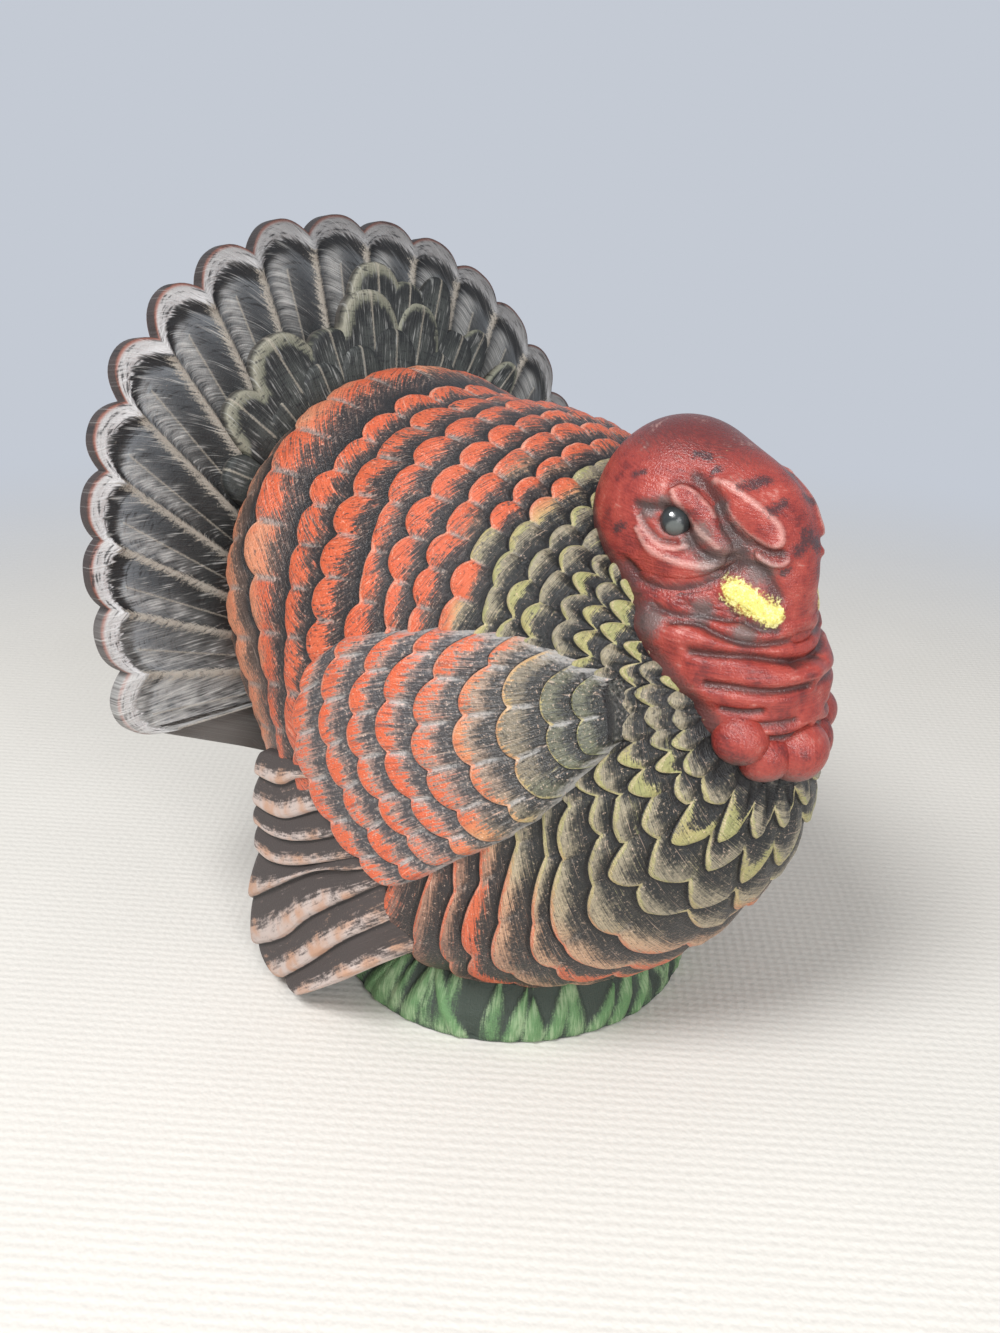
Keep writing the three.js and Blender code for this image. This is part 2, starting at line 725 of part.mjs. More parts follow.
function ballSolid(radius, spot, round) {
  const ball = new THREE.SphereGeometry(radius, round, ballStations);
  ball.translate(spot.x, spot.y, spot.z);
  return geometrySolid(ball);
}

function eyeSolid(side, swell) {
  const direction = vec(eyeAim.ahead, side, eyeAim.up).normalize();
  const spot = leave(headField, headHeart, direction, SKULL_LENGTH * 2);
  spot.addScaledVector(direction, -EYE_DIAMETER * eyeSunkShare);
  return ballSolid(EYE_DIAMETER * half + swell, spot, eyeRound);
}

// Beak: a short stout horn, closed, with the snood draped over it
const beakSeat = onSkull(1.1, 0, -0.32);
const beakDepthShare = 0.27;

function beakSolid(swell) {
  const horn = new THREE.SphereGeometry(1, 16, 10);
  horn.scale(
    BEAK_LENGTH * half + swell,
    BEAK_WIDTH * half + swell,
    BEAK_WIDTH * beakDepthShare + swell,
  );
  horn.rotateY(radians(BEAK_DROOP));
  horn.translate(beakSeat.x, beakSeat.y, beakSeat.z);
  return geometrySolid(horn);
}

// Caruncles: round lobes strung along the foot of the neck, largest in the middle. Each sits off
// the breast: degrees round and up, then how far its centre stands off and its size, as shares.
const lobeRound = 12;
const lobeShares = [
  { name: 'caruncle_right_upper', turn: -8.5, rise: 11.3, proud: 0.134, size: 0.82 },
  { name: 'caruncle_left_upper', turn: 8.5, rise: 11.3, proud: 0.134, size: 0.82 },
  { name: 'caruncle_right', turn: -5, rise: 8.1, proud: 0.146, size: 0.78 },
  { name: 'caruncle_left', turn: 5, rise: 8.1, proud: 0.146, size: 0.78 },
  { name: 'caruncle_front', turn: 0, rise: 8.3, proud: 0.243, size: 1 },
];

function lobeSolid({ turn, rise, proud, size }, swell) {
  const spot = offBreast(turn, rise, LOBE_DIAMETER * proud);
  return ballSolid(LOBE_DIAMETER * size * half + swell, spot, lobeRound);
}

// Assembly
const turkey = new THREE.Group();
const vent = ventHole();
const body = bodyShape().subtract(bodyHollow()).subtract(vent);
turkey.add(member('body_shell', body, looks.body));
turkey.add(member('grass_mound', moundShape(0).subtract(bodyCarver).subtract(vent), looks.grass));

const fanSolid = fanShape();
const fanFront = fanSolid.translate(JOINT_GAP, 0, 0);
const bodyInFan = carverIn(fanGroup, bodyCarver);
const coverts = covertShape().subtract(fanSolid).subtract(fanFront).subtract(bodyInFan);
fanGroup.add(member('tail_fan', fanSolid.subtract(bodyInFan), looks.fan));
fanGroup.add(member('tail_coverts', coverts, looks.coverts));
turkey.add(fanGroup);

const fanCarver = fanFront.transform(fanGroup.matrixWorld.toArray());
const moundCarver = moundShape(JOINT_GAP);

[['right', -1], ['left', 1]].forEach(([label, side]) => {
  const wing = wingShape(side, 0).subtract(bodyCarver);
  const bundle = primaryShape(side)
    .subtract(bodyCarver)
    .subtract(wingShape(side, JOINT_GAP))
    .subtract(moundCarver)
    .subtract(fanCarver);
  turkey.add(member(`wing_${label}`, wing, looks.wing));
  turkey.add(member(`primaries_${label}`, bundle, looks.primaries));
});

const bodyInHead = carverIn(headGroup, bodyCarver);
const skullCarver = skinSolid(headField, headHeart, JOINT_GAP);
const head = skinSolid(headField, headHeart, 0)
  .subtract(bodyInHead)
  .subtract(eyeSolid(1, JOINT_GAP))
  .subtract(eyeSolid(-1, JOINT_GAP));
headGroup.add(member('head', head, looks.skin));
headGroup.add(member('eye_right', eyeSolid(-1, 0), looks.eye));
headGroup.add(member('eye_left', eyeSolid(1, 0), looks.eye));

const beakCarver = beakSolid(JOINT_GAP);
headGroup.add(member('beak', beakSolid(0).subtract(skullCarver), looks.beak));

const snood = skinSolid(snoodField, snoodHeart, 0).subtract(skullCarver).subtract(beakCarver);
const snoodCarver = skinSolid(snoodField, snoodHeart, JOINT_GAP);
headGroup.add(member('snood', snood, looks.snood));

const neck = skinSolid(neckField, neckHeart, 0, foldRelief)
  .subtract(skullCarver)
  .subtract(snoodCarver)
  .subtract(beakCarver)
  .subtract(bodyInHead);
headGroup.add(member('neck_wattle', neck, looks.neck));

let taken = skinSolid(neckField, neckHeart, NECK_FOLD + JOINT_GAP).add(bodyInHead);
lobeShares.forEach((lobe) => {
  headGroup.add(member(lobe.name, lobeSolid(lobe, 0).subtract(taken), looks.neck));
  taken = taken.add(lobeSolid(lobe, JOINT_GAP));
});
turkey.add(headGroup);

export default turkey;
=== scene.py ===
import math

import bpy
import numpy as np
from mathutils import Matrix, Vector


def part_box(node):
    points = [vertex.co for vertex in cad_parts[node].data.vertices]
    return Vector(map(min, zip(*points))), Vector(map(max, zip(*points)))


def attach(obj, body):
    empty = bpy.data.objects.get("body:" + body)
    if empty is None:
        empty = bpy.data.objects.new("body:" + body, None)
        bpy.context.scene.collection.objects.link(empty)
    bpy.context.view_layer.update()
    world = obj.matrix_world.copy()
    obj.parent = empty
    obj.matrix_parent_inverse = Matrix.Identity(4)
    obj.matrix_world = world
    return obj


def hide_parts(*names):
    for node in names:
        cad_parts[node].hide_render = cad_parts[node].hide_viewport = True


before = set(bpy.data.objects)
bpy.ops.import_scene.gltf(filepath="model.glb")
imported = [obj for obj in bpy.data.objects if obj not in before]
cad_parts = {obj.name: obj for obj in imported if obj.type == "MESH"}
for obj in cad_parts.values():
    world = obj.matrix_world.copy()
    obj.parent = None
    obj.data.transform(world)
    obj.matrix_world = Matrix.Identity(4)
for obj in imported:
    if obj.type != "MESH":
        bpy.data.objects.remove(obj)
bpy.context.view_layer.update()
print("frame loaded")

# Everything below is in millimetres of the figure. toMetres turns it into the frame's metres, and
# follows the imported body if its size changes. Colours are given as they look, from 0 to 255.
figure = {"bodyBoxLength": 202, "seed": 11}
bodyLow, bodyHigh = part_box("body_shell")
toMetres = (bodyHigh.x - bodyLow.x) / figure["bodyBoxLength"]
dice = np.random.default_rng(figure["seed"])
upAndDown = np.array([[0, 0, 1.0], [0, 0, -1.0]])


# Small helpers

def unit(v):
    v = np.asarray(v, float)
    return v / np.linalg.norm(v, axis=-1, keepdims=True)


def ease(low, high, x):
    t = np.clip((np.asarray(x, float) - low) / (high - low), 0, 1)
    return t * t * (3 - 2 * t)


def bell(x):
    return np.exp(-np.square(x))


def ellipsoid(centre, radii):
    centre, radii = np.asarray(centre, float), np.asarray(radii, float)

    def field(p):
        q = p - centre
        near = np.linalg.norm(q / radii, axis=-1)
        slope = np.linalg.norm(q / radii ** 2, axis=-1)
        return near * (near - 1) / np.maximum(slope, 1e-9)
    return field


def melt(width, *fields):
    def field(p):
        result = fields[0](p)
        for other in fields[1:]:
            b = other(p)
            near = np.maximum(width - np.abs(result - b), 0) / width
            result = np.minimum(result, b) - near * near * width / 4
        return result
    return field


# Where a ray from inside leaves a field
def leave(field, start, direction, reach=340, offset=0):
    start = np.broadcast_to(np.asarray(start, float), direction.shape)
    inside = np.zeros(direction.shape[:-1])
    outside = np.full(direction.shape[:-1], float(reach))
    for _ in range(20):
        middle = (inside + outside) / 2
        within = field(start + direction * middle[..., None]) < offset
        inside = np.where(within, middle, inside)
        outside = np.where(within, outside, middle)
    return start + direction * outside[..., None]


def aim(axis, polar, turn):
    axis = np.asarray(axis, float)
    top = np.array([-axis[2], 0, axis[0]])
    polar, turn = np.radians(polar), np.radians(turn)
    return (np.cos(polar)[..., None] * axis
            + (np.sin(polar) * np.cos(turn))[..., None] * top
            + (np.sin(polar) * np.sin(turn))[..., None] * np.array([0, 1, 0]))


# Directions all round a point, in rows from the top down
def around(columns, stations):
    turn = np.arange(columns) * 360 / columns
    polar = (np.arange(1, stations) / stations * 180)[:, None]
    polar, turn = np.broadcast_arrays(polar, turn[None])
    return aim(upAndDown[0], polar, turn), polar, turn


def lengths(points):
    return np.r_[0, np.cumsum(np.linalg.norm(np.diff(points, axis=0), axis=1))]


def curved(points, steps=6):
    p = np.vstack([points[0] * 2 - points[1], points, points[-1] * 2 - points[-2]])
    t = np.linspace(0, 1, steps, endpoint=False)[:, None]
    pieces = []
    for a, b, c, d in zip(p, p[1:], p[2:], p[3:]):
        pieces.append(0.5 * (2 * b + (c - a) * t + (2 * a - 5 * b + 4 * c - d) * t ** 2
                             + (3 * b - a - 3 * c + d) * t ** 3))
    return np.vstack(pieces + [points[-1:]])


def addObject(name, data, axes=(), spot=None):
    thing = bpy.data.objects.new(name, data)
    if len(axes):
        place = Matrix.Identity(4)
        for column, values in enumerate((*axes, spot)):
            for row in range(3):
                place[row][column] = values[row]
        thing.matrix_world = place
    bpy.context.collection.objects.link(thing)
    return thing


# Camera, found from the photograph: where plumb lines meet, and the figure's outlines

camera = {
    "spot": (275.72, -266.915, 258.231),
    "pictureSize": (1000, 1333),
    "focal": 1300,                  # in picture pixels
    "plumbPoint": (389.7, 3860),
    "turn": 2.39625852,             # of the figure about the upright, radians
    "sensor": 36,
    "clip": (0.01, 50),             # metres
}


def fromMiddle(x, y):
    wide, tall = camera["pictureSize"]
    return [x - wide / 2, y - tall / 2, camera["focal"]]


def cameraAxes():
    up = -unit(fromMiddle(*camera["plumbPoint"]))
    ahead = np.array([0, 0, 1.0])
    level = unit(ahead - up * (ahead @ up))
    frameX = math.cos(camera["turn"]) * level + math.sin(camera["turn"]) * np.cross(level, up)
    return np.stack([frameX, np.cross(up, frameX), up], 1)


def addCamera():
    axes = cameraAxes()
    data = bpy.data.cameras.new("camera")
    data.sensor_fit = "VERTICAL"
    data.sensor_height = camera["sensor"]
    data.lens = camera["focal"] / camera["pictureSize"][1] * camera["sensor"]
    data.clip_start, data.clip_end = camera["clip"]
    spot = np.array(camera["spot"]) * toMetres
    bpy.context.scene.camera = addObject("camera", data, (axes[0], -axes[1], -axes[2]), spot)


# Points of a surface that the camera sees at these pixels of the photograph
def castPixels(pixels, field):
    direction = unit([fromMiddle(x, y) for x, y in pixels]) @ cameraAxes()
    p = np.broadcast_to(np.array(camera["spot"]), direction.shape).copy()
    for _ in range(90):
        p += direction * np.clip(field(p), -4, 60)[:, None] * 0.8
    return p


addCamera()
print("camera set")


# Shading helpers

def paint(colour):
    parts = [c / 255 for c in colour]
    return (*(c / 12.92 if c < 0.04045 else ((c + 0.055) / 1.055) ** 2.4 for c in parts), 1)


class Nodes:
    def __init__(self, owner):
        owner.use_nodes = True
        self.owner = owner
        self.tree = owner.node_tree

    def link(self, value, socket):
        if isinstance(value, bpy.types.NodeSocket):
            self.tree.links.new(value, socket)
        else:
            socket.default_value = value

    def add(self, kind, inputs=(), **settings):
        node = self.tree.nodes.new(kind)
        for key, value in settings.items():
            setattr(node, key, value)
        for key, value in dict(inputs).items():
            self.link(value, node.inputs[key])
        return node

    def mask(self, name):
        return self.add("ShaderNodeAttribute", attribute_name=name).outputs["Fac"]

    def place(self, name):
        return self.add("ShaderNodeAttribute", attribute_name=name).outputs["Vector"]

    def spot(self):
        return self.add("ShaderNodeTexCoord").outputs["Object"]

    def sum(self, a, b, operation="ADD"):
        return self.add("ShaderNodeMath", {0: a, 1: b}, operation=operation).outputs[0]

    def times(self, a, b):
        return self.sum(a, b, "MULTIPLY")

    # Adds up sockets, each alone or with its share
    def total(self, *parts):
        terms = [self.times(*part) if isinstance(part, tuple) else part for part in parts]
        result = terms[0]
        for term in terms[1:]:
            result = self.sum(result, term)
        return result

    def ramp(self, factor, stops):
        node = self.add("ShaderNodeValToRGB", {"Fac": factor})
        band = node.color_ramp
        while len(band.elements) < len(stops):
            band.elements.new(0.5)
        for element, (spot, colour) in zip(band.elements, sorted(stops)):
            element.position = spot
            element.color = paint(colour)
        return node.outputs["Color"]

    def between(self, value, low, high):
        return self.add("ShaderNodeMapRange", {"Value": value, "From Min": low, "From Max": high},
                        interpolation_type="SMOOTHSTEP").outputs["Result"]

    def mix(self, factor, a, b):
        node = self.add("ShaderNodeMix", {0: factor}, data_type="RGBA")
        for socket, colour in ((node.inputs[6], a), (node.inputs[7], b)):
            self.link(paint(colour) if isinstance(colour, tuple) else colour, socket)
        return node.outputs[2]

    # Coats over a first colour. Each is what it follows, where it starts and is full, its share and
    # its colour. One without a start follows a mask as it is.
    def coats(self, colour, *coats):
        for cover, start, full, share, over in coats:
            if start is not None:
                cover = self.between(cover, start, full)
            colour = self.mix(self.times(cover, share), colour, over)
        return colour

    # Noise from about -1 to 1, stretched by the size of its grain in millimetres
    def noise(self, vector, grain, detail=3, seed=0):
        spread = self.add("ShaderNodeVectorMath", {0: vector, 1: [1 / g for g in grain]},
                          operation="MULTIPLY").outputs[0]
        moved = self.add("ShaderNodeVectorMath", {0: spread, 1: (seed, seed, seed)}).outputs[0]
        node = self.add("ShaderNodeTexNoise", {"Vector": moved, "Scale": 1, "Detail": detail})
        return self.add("ShaderNodeMapRange", {"Value": node.outputs["Fac"], "From Min": 0.3,
                                               "From Max": 0.7, "To Min": -1, "To Max": 1},
                        clamp=False).outputs["Result"]

    def solid(self, grain, detail=3, seed=0):
        return self.noise(self.spot(), [grain * toMetres] * 3, detail, seed)

    # Noises by the names of their settings, along the grain of a piece or through its solid
    def along(self, s, *keys):
        grain = self.place("grain")
        return [self.noise(grain, *s[key]) for key in keys]

    def through(self, s, *keys):
        return [self.solid(*s[key]) for key in keys]

    # The rays that show the plain backdrop instead of lighting the figure
    def seen(self):
        rays = self.add("ShaderNodeLightPath").outputs
        seen = self.sum(rays["Is Camera Ray"], rays["Is Glossy Ray"])
        return self.sum(seen, rays["Is Transmission Ray"], "MAXIMUM")

    def finish(self, colour, height, strength, depth):
        self.link(colour, self.shader.inputs["Base Color"])
        bump = self.add("ShaderNodeBump", {"Height": height, "Strength": strength,
                                           "Distance": depth * toMetres})
        self.link(bump.outputs["Normal"], self.shader.inputs["Normal"])
        return self.owner


def newPaint(name, roughness):
    n = Nodes(bpy.data.materials.new(name))
    n.shader = n.tree.nodes["Principled BSDF"]
    n.shader.inputs["Roughness"].default_value = roughness
    n.shader.inputs["Specular IOR Level"].default_value = 0.5
    return n


# Meshes from grids of points

class Rows:
    def __init__(self, width, keys):
        self.width, self.points = width, []
        self.masks = {key: [] for key in keys}

    def add(self, points, *values):
        self.points.append(points)
        for key, value in zip(self.masks, values):
            self.masks[key].append(np.broadcast_to(value, (self.width,) + np.shape(value)[1:]))


def gridPart(rows, masks, first, last):
    rows = np.asarray(rows, float)
    count, turns = rows.shape[:2]
    index = np.arange(count * turns).reshape(count, turns)
    quads = np.stack([index[:-1], np.roll(index, -1, 1)[:-1], np.roll(index, -1, 1)[1:], index[1:]], -1)
    points = rows.reshape(-1, 3)
    values = {key: np.asarray(mask, float).reshape(len(points), -1) for key, mask in masks.items()}
    faces = quads.reshape(-1, 4).tolist()
    for ring, pole, way in ((index[0], first, 1), (index[-1], last, -1)):
        points = np.vstack([points, np.asarray(pole, float)[None]])
        values = {key: np.vstack([v, v[ring].mean(0)[None]]) for key, v in values.items()}
        cap = np.stack([ring, np.full(turns, len(points) - 1), np.roll(ring, -1)], -1)
        faces += cap[:, ::way].tolist()
    corners = points[[face[:3] for face in faces]]
    volume = np.einsum("ij,ij->i", corners[:, 0], np.cross(corners[:, 1], corners[:, 2])).sum()
    if volume < 0:
        faces = [face[::-1] for face in faces]
    return points, faces, values


def addPiece(name, parts, material, node):
    points = np.vstack([part[0] for part in parts])
    faces, start = [], 0
    for part in parts:
        faces += [[corner + start for corner in face] for face in part[1]]
        start += len(part[0])
    mesh = bpy.data.meshes.new(name)
    mesh.from_pydata((points * toMetres).tolist(), [], faces)
    for key in parts[0][2]:
        values = np.vstack([part[2][key] for part in parts])
        wide = values.shape[1] > 1
        layer = mesh.attributes.new(key, "FLOAT_VECTOR" if wide else "FLOAT", "POINT")
        layer.data.foreach_set("vector" if wide else "value", values.astype(np.float32).ravel())
    mesh.shade_smooth()
    mesh.materials.append(material)
    piece = addObject(name, mesh)
    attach(piece, "root")
    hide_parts(node)
    print("made", name, len(faces), "faces")


# Feather paint: a dark ground, colour dragged over what stands proud, grey wash in the grooves.
# warmth runs from 0, the peach row by the tail, over orange and tan to 1, olive. A grain is its size
# in millimetres, its detail and its seed.

plumage = {
    "roughness": 0.4,
    "brushed": [(0, (208, 136, 102)), (0.16, (206, 92, 56)), (0.36, (202, 104, 68)), (0.5, (198, 144, 100)),
                (0.62, (182, 164, 112)), (0.76, (160, 158, 105)), (1, (120, 134, 90))],
    # Pale dust over the feathers, partly painted sheen that lightens the dusky rows
    "dust_and_sheen": [(0, (166, 132, 114)), (0.2, (142, 102, 88)), (0.34, (204, 160, 128)), (0.5, (180, 164, 136)),
             (1, (120, 122, 110))],
    "ground": [(0, (72, 58, 52)), (0.2, (44, 38, 38)), (0.36, (42, 40, 40)), (0.65, (33, 34, 34)),
               (1, (28, 31, 30))],
    "wash": (156, 150, 145),
    "shadow": (22, 21, 22),
    # Pale wear, partly a painted highlight: dabbed on pale strokes, on specks as glints and along each rim
    "wear_and_highlight": (238, 206, 184),
    "scratch": ((0.6, 3.6, 1), 2, 0),
    "comb": ((0.45, 9, 1), 1, 4),
    "stroke": ((0.9, 6, 1), 3, 9),
    "mottle": (0.9, 2, 3),
    "speck": (0.45, 1, 7),
    "cloud": (7, 2, 5),
    "bump": (0.55, 0.3),
}
wingPlumage = {
    **plumage,
    "ground": [(0, (84, 78, 76)), (0.2, (66, 63, 65)), (0.4, (54, 52, 51)), (0.65, (36, 37, 35)),
               (1, (31, 33, 30))],
    "dust_and_sheen": [(0, (190, 160, 146)), (0.25, (180, 142, 128)), (0.42, (150, 132, 114)),
             (0.65, (104, 104, 86)), (1, (92, 96, 78))],
    "wash": (172, 170, 168),
}
plumageMasks = ("lit", "haze", "wash", "dark", "rim", "warmth", "grain")


def plumageMaterial(name, s):
    n = newPaint(name, s["roughness"])
    scratch, comb, stroke = n.along(s, "scratch", "comb", "stroke")
    mottle, speck, cloud = n.through(s, "mottle", "speck", "cloud")
    warmth = n.mask("warmth")
    ground, dust_and_sheen = n.ramp(warmth, s["ground"]), n.ramp(warmth, s["dust_and_sheen"])
    brushed = n.ramp(n.total(warmth, (cloud, 0.05)), s["brushed"])
    rough = n.total((scratch, 0.22), (comb, 0.22), (mottle, 0.2), (cloud, 0.16))
    colour = n.coats(
        ground,
        # Pale dust, partly painted sheen
        (n.total(n.mask("haze"), (rough, 0.8)), 0.05, 0.95, 1, dust_and_sheen),
        (n.total(n.mask("lit"), rough), 0.42, 0.68, 1, brushed),
        (n.total(n.mask("wash"), (scratch, 0.16), (mottle, 0.16)), 0.15, 1, 0.8, s["wash"]),
        (n.total((mottle, -1), (scratch, -0.6)), 0.5, 1.5, 0.75, ground),
        (n.times(stroke, -1), 0.1, 1.2, 0.6, ground),
        # Pale strokes and specks: wear, partly painted highlight glints
        (n.total(stroke, (scratch, 0.4)), 0.6, 1.7, 0.42, s["wear_and_highlight"]),
        (n.total(mottle, speck), 0.8, 1.9, 0.42, s["wear_and_highlight"]),
        (n.total(n.mask("rim"), (scratch, 0.34), (cloud, 0.34)), 0.45, 1, 0.85, brushed),
        # A painted highlight along each rim
        (n.total(n.mask("rim"), (speck, 0.25), (cloud, 0.25)), 0.75, 1.3, 0.35, s["wear_and_highlight"]),
        (n.total(n.mask("dark"), (mottle, 0.1), (speck, 0.1)), 0.25, 0.95, 0.9, s["shadow"]))
    height = n.total((scratch, 0.5), (mottle, 0.5), (stroke, 0.5), (speck, 0.3))
    return n.finish(colour, height, *s["bump"])


# Body. Rows of feathers circle a tilted axis: polar is the angle from it, turn the way round it.

body = {
    "centre": (-10, 0, 97),
    "half": (84, 77, 86),
    "masses": [((0, 0, 0), (1, 1, 1)), ((-0.6, 0, 0.31), (0.405, 0.86, 0.73)),
               ((0.55, 0, -0.06), (0.76, 0.71, 0.72)), ((0.2, 0, -0.49), (0.76, 0.91, 0.53))],
    "blend": 22,
    "heartShare": 0.06,
    "rowTilt": 14,
    "sideRows": (14, 18, 22, 26, 30, 34, 38, 42.5, 47.5, 53, 59, 65.5, 73, 82, 92, 102, 113, 126, 140,
                 161),
    "bottomRows": (14, 20, 27, 34, 41, 48, 55, 62, 69, 76, 83, 90, 98, 107, 116, 125, 134, 143, 152,
                   166),
    "feathers": 30,
    "crowding": 11,                 # more feathers per degree on top than below
    "samplesEach": 15,
    "steps": (0, 0.06, 0.17, 0.32, 0.48, 0.64, 0.78, 0.88, 0.95, 0.985),
    "reliefShare": 0.24,            # of the row's width
    "reliefRange": (0.9, 1.7),
    "crease": 0.55,
    "span": 88,                     # usual distance from the heart to the surface
    "front": (3, 7, 10.5),          # plain rings before the first row
    "rear": (0, 0.12, 0.35, 0.6, 0.82),
    "end": 177,
    # Angle from the top, where olive begins and where it is full
    "olive": ([0, 30, 60, 100, 130, 180], [57, 60, 63, 62, 52, 44], [46, 50, 52, 46, 33, 24]),
}
bodyCentre = np.array(body["centre"], float)
bodyHalf = np.array(body["half"], float)
bodyField = melt(body["blend"], *[
    ellipsoid(bodyCentre + bodyHalf * place, bodyHalf * size) for place, size in body["masses"]])
bodyHeart = bodyCentre + (bodyHalf[0] * body["heartShare"], 0, 0)
tilt = math.radians(body["rowTilt"])
rowAxis = np.array([math.cos(tilt), 0, math.sin(tilt)])


def bodyPoint(polar, turn, rise=0):
    polar, turn = np.broadcast_arrays(np.asarray(polar, float), np.asarray(turn, float))
    direction = aim(rowAxis, polar, turn)
    return leave(bodyField, bodyHeart, direction) + direction * np.asarray(rise)[..., None]


def bodyWarmth(polar, top):
    spots, begins, full = body["olive"]
    olive = 1 - ease(np.interp(top, spots, full), np.interp(top, spots, begins), polar)
    peach = ease(106, 114, polar) * (1 - ease(120, 150, top))
    tan = ease(105, 140, top) * (1 - ease(50, 80, polar))
    return 0.2 + 0.16 * tan - 0.2 * peach + (0.54 - 0.16 * tan) * olive


def featherLip(t, relief):
    nose = np.sqrt(np.clip(1 - (np.clip(t - 0.74, 0, 1) / 0.27) ** 2, 0, 1))
    return relief * np.where(t <= 0, 0, (0.12 + 0.88 * t ** 1.1) * (0.25 + 0.75 * nose))


def featherTurn(place):
    turn = np.zeros(len(place))
    for _ in range(30):
        turn = (2 * math.pi * place - body["crowding"] * np.sin(turn)) / body["feathers"]
    return np.degrees(turn)


# The lower edge of each row, with the place across its feathers and a random pick for each feather
def bodyEdges(swirl, turn, below):
    side, bottom = (np.array(body[key], float)[:, None] for key in ("sideRows", "bottomRows"))
    tips = side * (1 - below) + bottom * below
    count = len(tips)
    shift = dice.uniform(-0.12, 0.12, count)
    sway = dice.uniform(0, 360, (2, count))
    spacing = np.gradient(tips, axis=0)
    roam = dice.uniform(0, 360, (3, count))
    edges, across, picks = [], [], []
    for k in range(count):
        drift = 0.17 * np.sin(np.radians(2 * turn + sway[0][k]))
        drift = drift + 0.1 * np.sin(np.radians(5 * turn + sway[1][k]))
        place = swirl + 0.5 * (k % 2) + shift[k] + drift
        waves = [np.sin(np.radians(n * turn + roam[i][k])) for i, n in enumerate((2, 4, 7))]
        tips[k] += spacing[k] * (0.13 * waves[0] + 0.1 * waves[1] + 0.06 * waves[2])
        u = place % 1
        feather = np.floor(place).astype(int) % body["feathers"]
        pick = dice.uniform(-1, 1, body["feathers"])[feather]
        notch = np.abs(2 * u - 1)
        pointed = 1 - ease(30, 58, tips[k])
        depth = (0.2 + 0.4 * pointed + 0.14 * below) * spacing[k] * (1 + 0.25 * pick)
        lap = depth * notch ** (2.6 - 0.8 * pointed - 0.5 * below)
        edge = tips[k] - lap + (0.12 + 0.12 * pointed) * spacing[k] * pick * (1 - notch ** 2)
        edges.append(np.maximum(edge, edges[-1] + 0.12 * spacing[k]) if edges else edge)
        across.append(u)
        picks.append(pick)
    return tips, edges, across, picks


def buildBody():
    s = body
    columns = s["samplesEach"] * s["feathers"]
    swirl = np.arange(columns) / s["samplesEach"]
    turn = featherTurn(swirl)
    top = np.abs((turn + 180) % 360 - 180)
    tips, edges, across, picks = bodyEdges(swirl, turn, ease(108, 150, top))
    millimetres = math.radians(1) * s["span"]
    rows = Rows(columns, plumageMasks)

    def addRing(polar, rise, tones, u=np.zeros(columns), drift=0):
        sideways = np.radians(turn) * s["span"] * np.sin(np.radians(polar))
        grain = np.stack([sideways, polar * millimetres, u], -1)
        rows.add(bodyPoint(polar, turn, rise), *tones, bodyWarmth(polar + drift, top), grain)

    for polar in s["front"]:
        addRing(np.full(columns, float(polar)), np.zeros(columns), (0.1, 0.2, 0.5, 0.3, 0))
    for low, high, u, pick, tip in zip(edges, edges[1:], across[1:], picks[1:], tips[1:]):
        room = (high - low) * millimetres
        relief = np.clip(room * s["reliefShare"], *s["reliefRange"])
        middle = 1 - np.abs(2 * u - 1) ** 2
        gap = np.minimum(u, 1 - u)
        dusky = np.maximum(1 - ease(42, 66, tip), ease(95, 125, top) * 0.85)
        start = 0.16 + 0.6 * dusky - dusky * ease(0.2, 0.8, pick) * 0.4
        full = start + 0.55 - 0.25 * dusky
        lower = np.sign(np.sin(np.radians(turn))) * (u - 0.5)
        shade = np.maximum(0.65 * (1 - ease(65, 100, top)), 0.3 * dusky)
        brink = 1 - (1.9 - 0.9 * dusky) / np.maximum(room, 2)
        uneven = 1 - 0.75 * dusky * ease(0.5, -0.5, pick) * (1 - ease(90, 120, top))
        for t in s["steps"]:
            crease = bell(gap / 0.07) * ease(0.15, 0.6, t)
            dome = 0.28 * middle * ease(0, 0.5, t) - s["crease"] * crease
            flute = 0.07 * np.cos(6 * math.pi * u) * ease(0.2, 0.8, t)
            rise = featherLip(t, relief) + relief * (dome + flute) * (1 - ease(0.9, 1.02, t))
            lit = ease(start, full, t) * (0.8 + 0.12 * pick) * (1 - 0.4 * crease)
            lit = lit * (1 - 0.6 * dusky * ease(0.3, -0.5, pick)) * (0.85 + 0.15 * middle)
            lit = lit + 0.5 * dusky * lower * ease(0.2, 0.8, t)
            # The pale haze is partly painted sheen, stronger and wider on the dusky rows
            haze = ease(0.1 + 0.15 * dusky, 0.75 + 0.3 * dusky, t) * (0.85 + 0.15 * dusky) - 0.2 * crease
            wash = (1 - ease(0.1, 0.6, t)) * 0.22 * (1 - dusky) + 0.8 * crease * (1 - 0.5 * dusky)
            dark = (1 - ease(0, 0.12 + 0.1 * dusky, t)) * (1 - 0.5 * crease)
            dark = dark + shade * (1 - ease(0.08, 0.42, t)) * (1 - crease)
            rim = ease(brink - 0.08, brink + 0.05, t) * uneven
            addRing(low + (high - low) * t, rise, (lit, haze, wash, dark, rim), u, 6 * pick)
    for t in s["rear"]:
        addRing(edges[-1] + (s["end"] - edges[-1]) * t, np.zeros(columns), (0.1, 0.1, 0.1, 0.5, 0))
    part = gridPart(rows.points, rows.masks, *bodyPoint(np.array([0, 180.0]), np.zeros(2)))
    addPiece("body_feathers", [part], plumageMaterial("body_paint", plumage), "body_shell")


buildBody()


# Wings. The arcs of the rows are given in a side view: the top end, the fullest place and the
# lower end of each, from the rear forward to where they all meet.

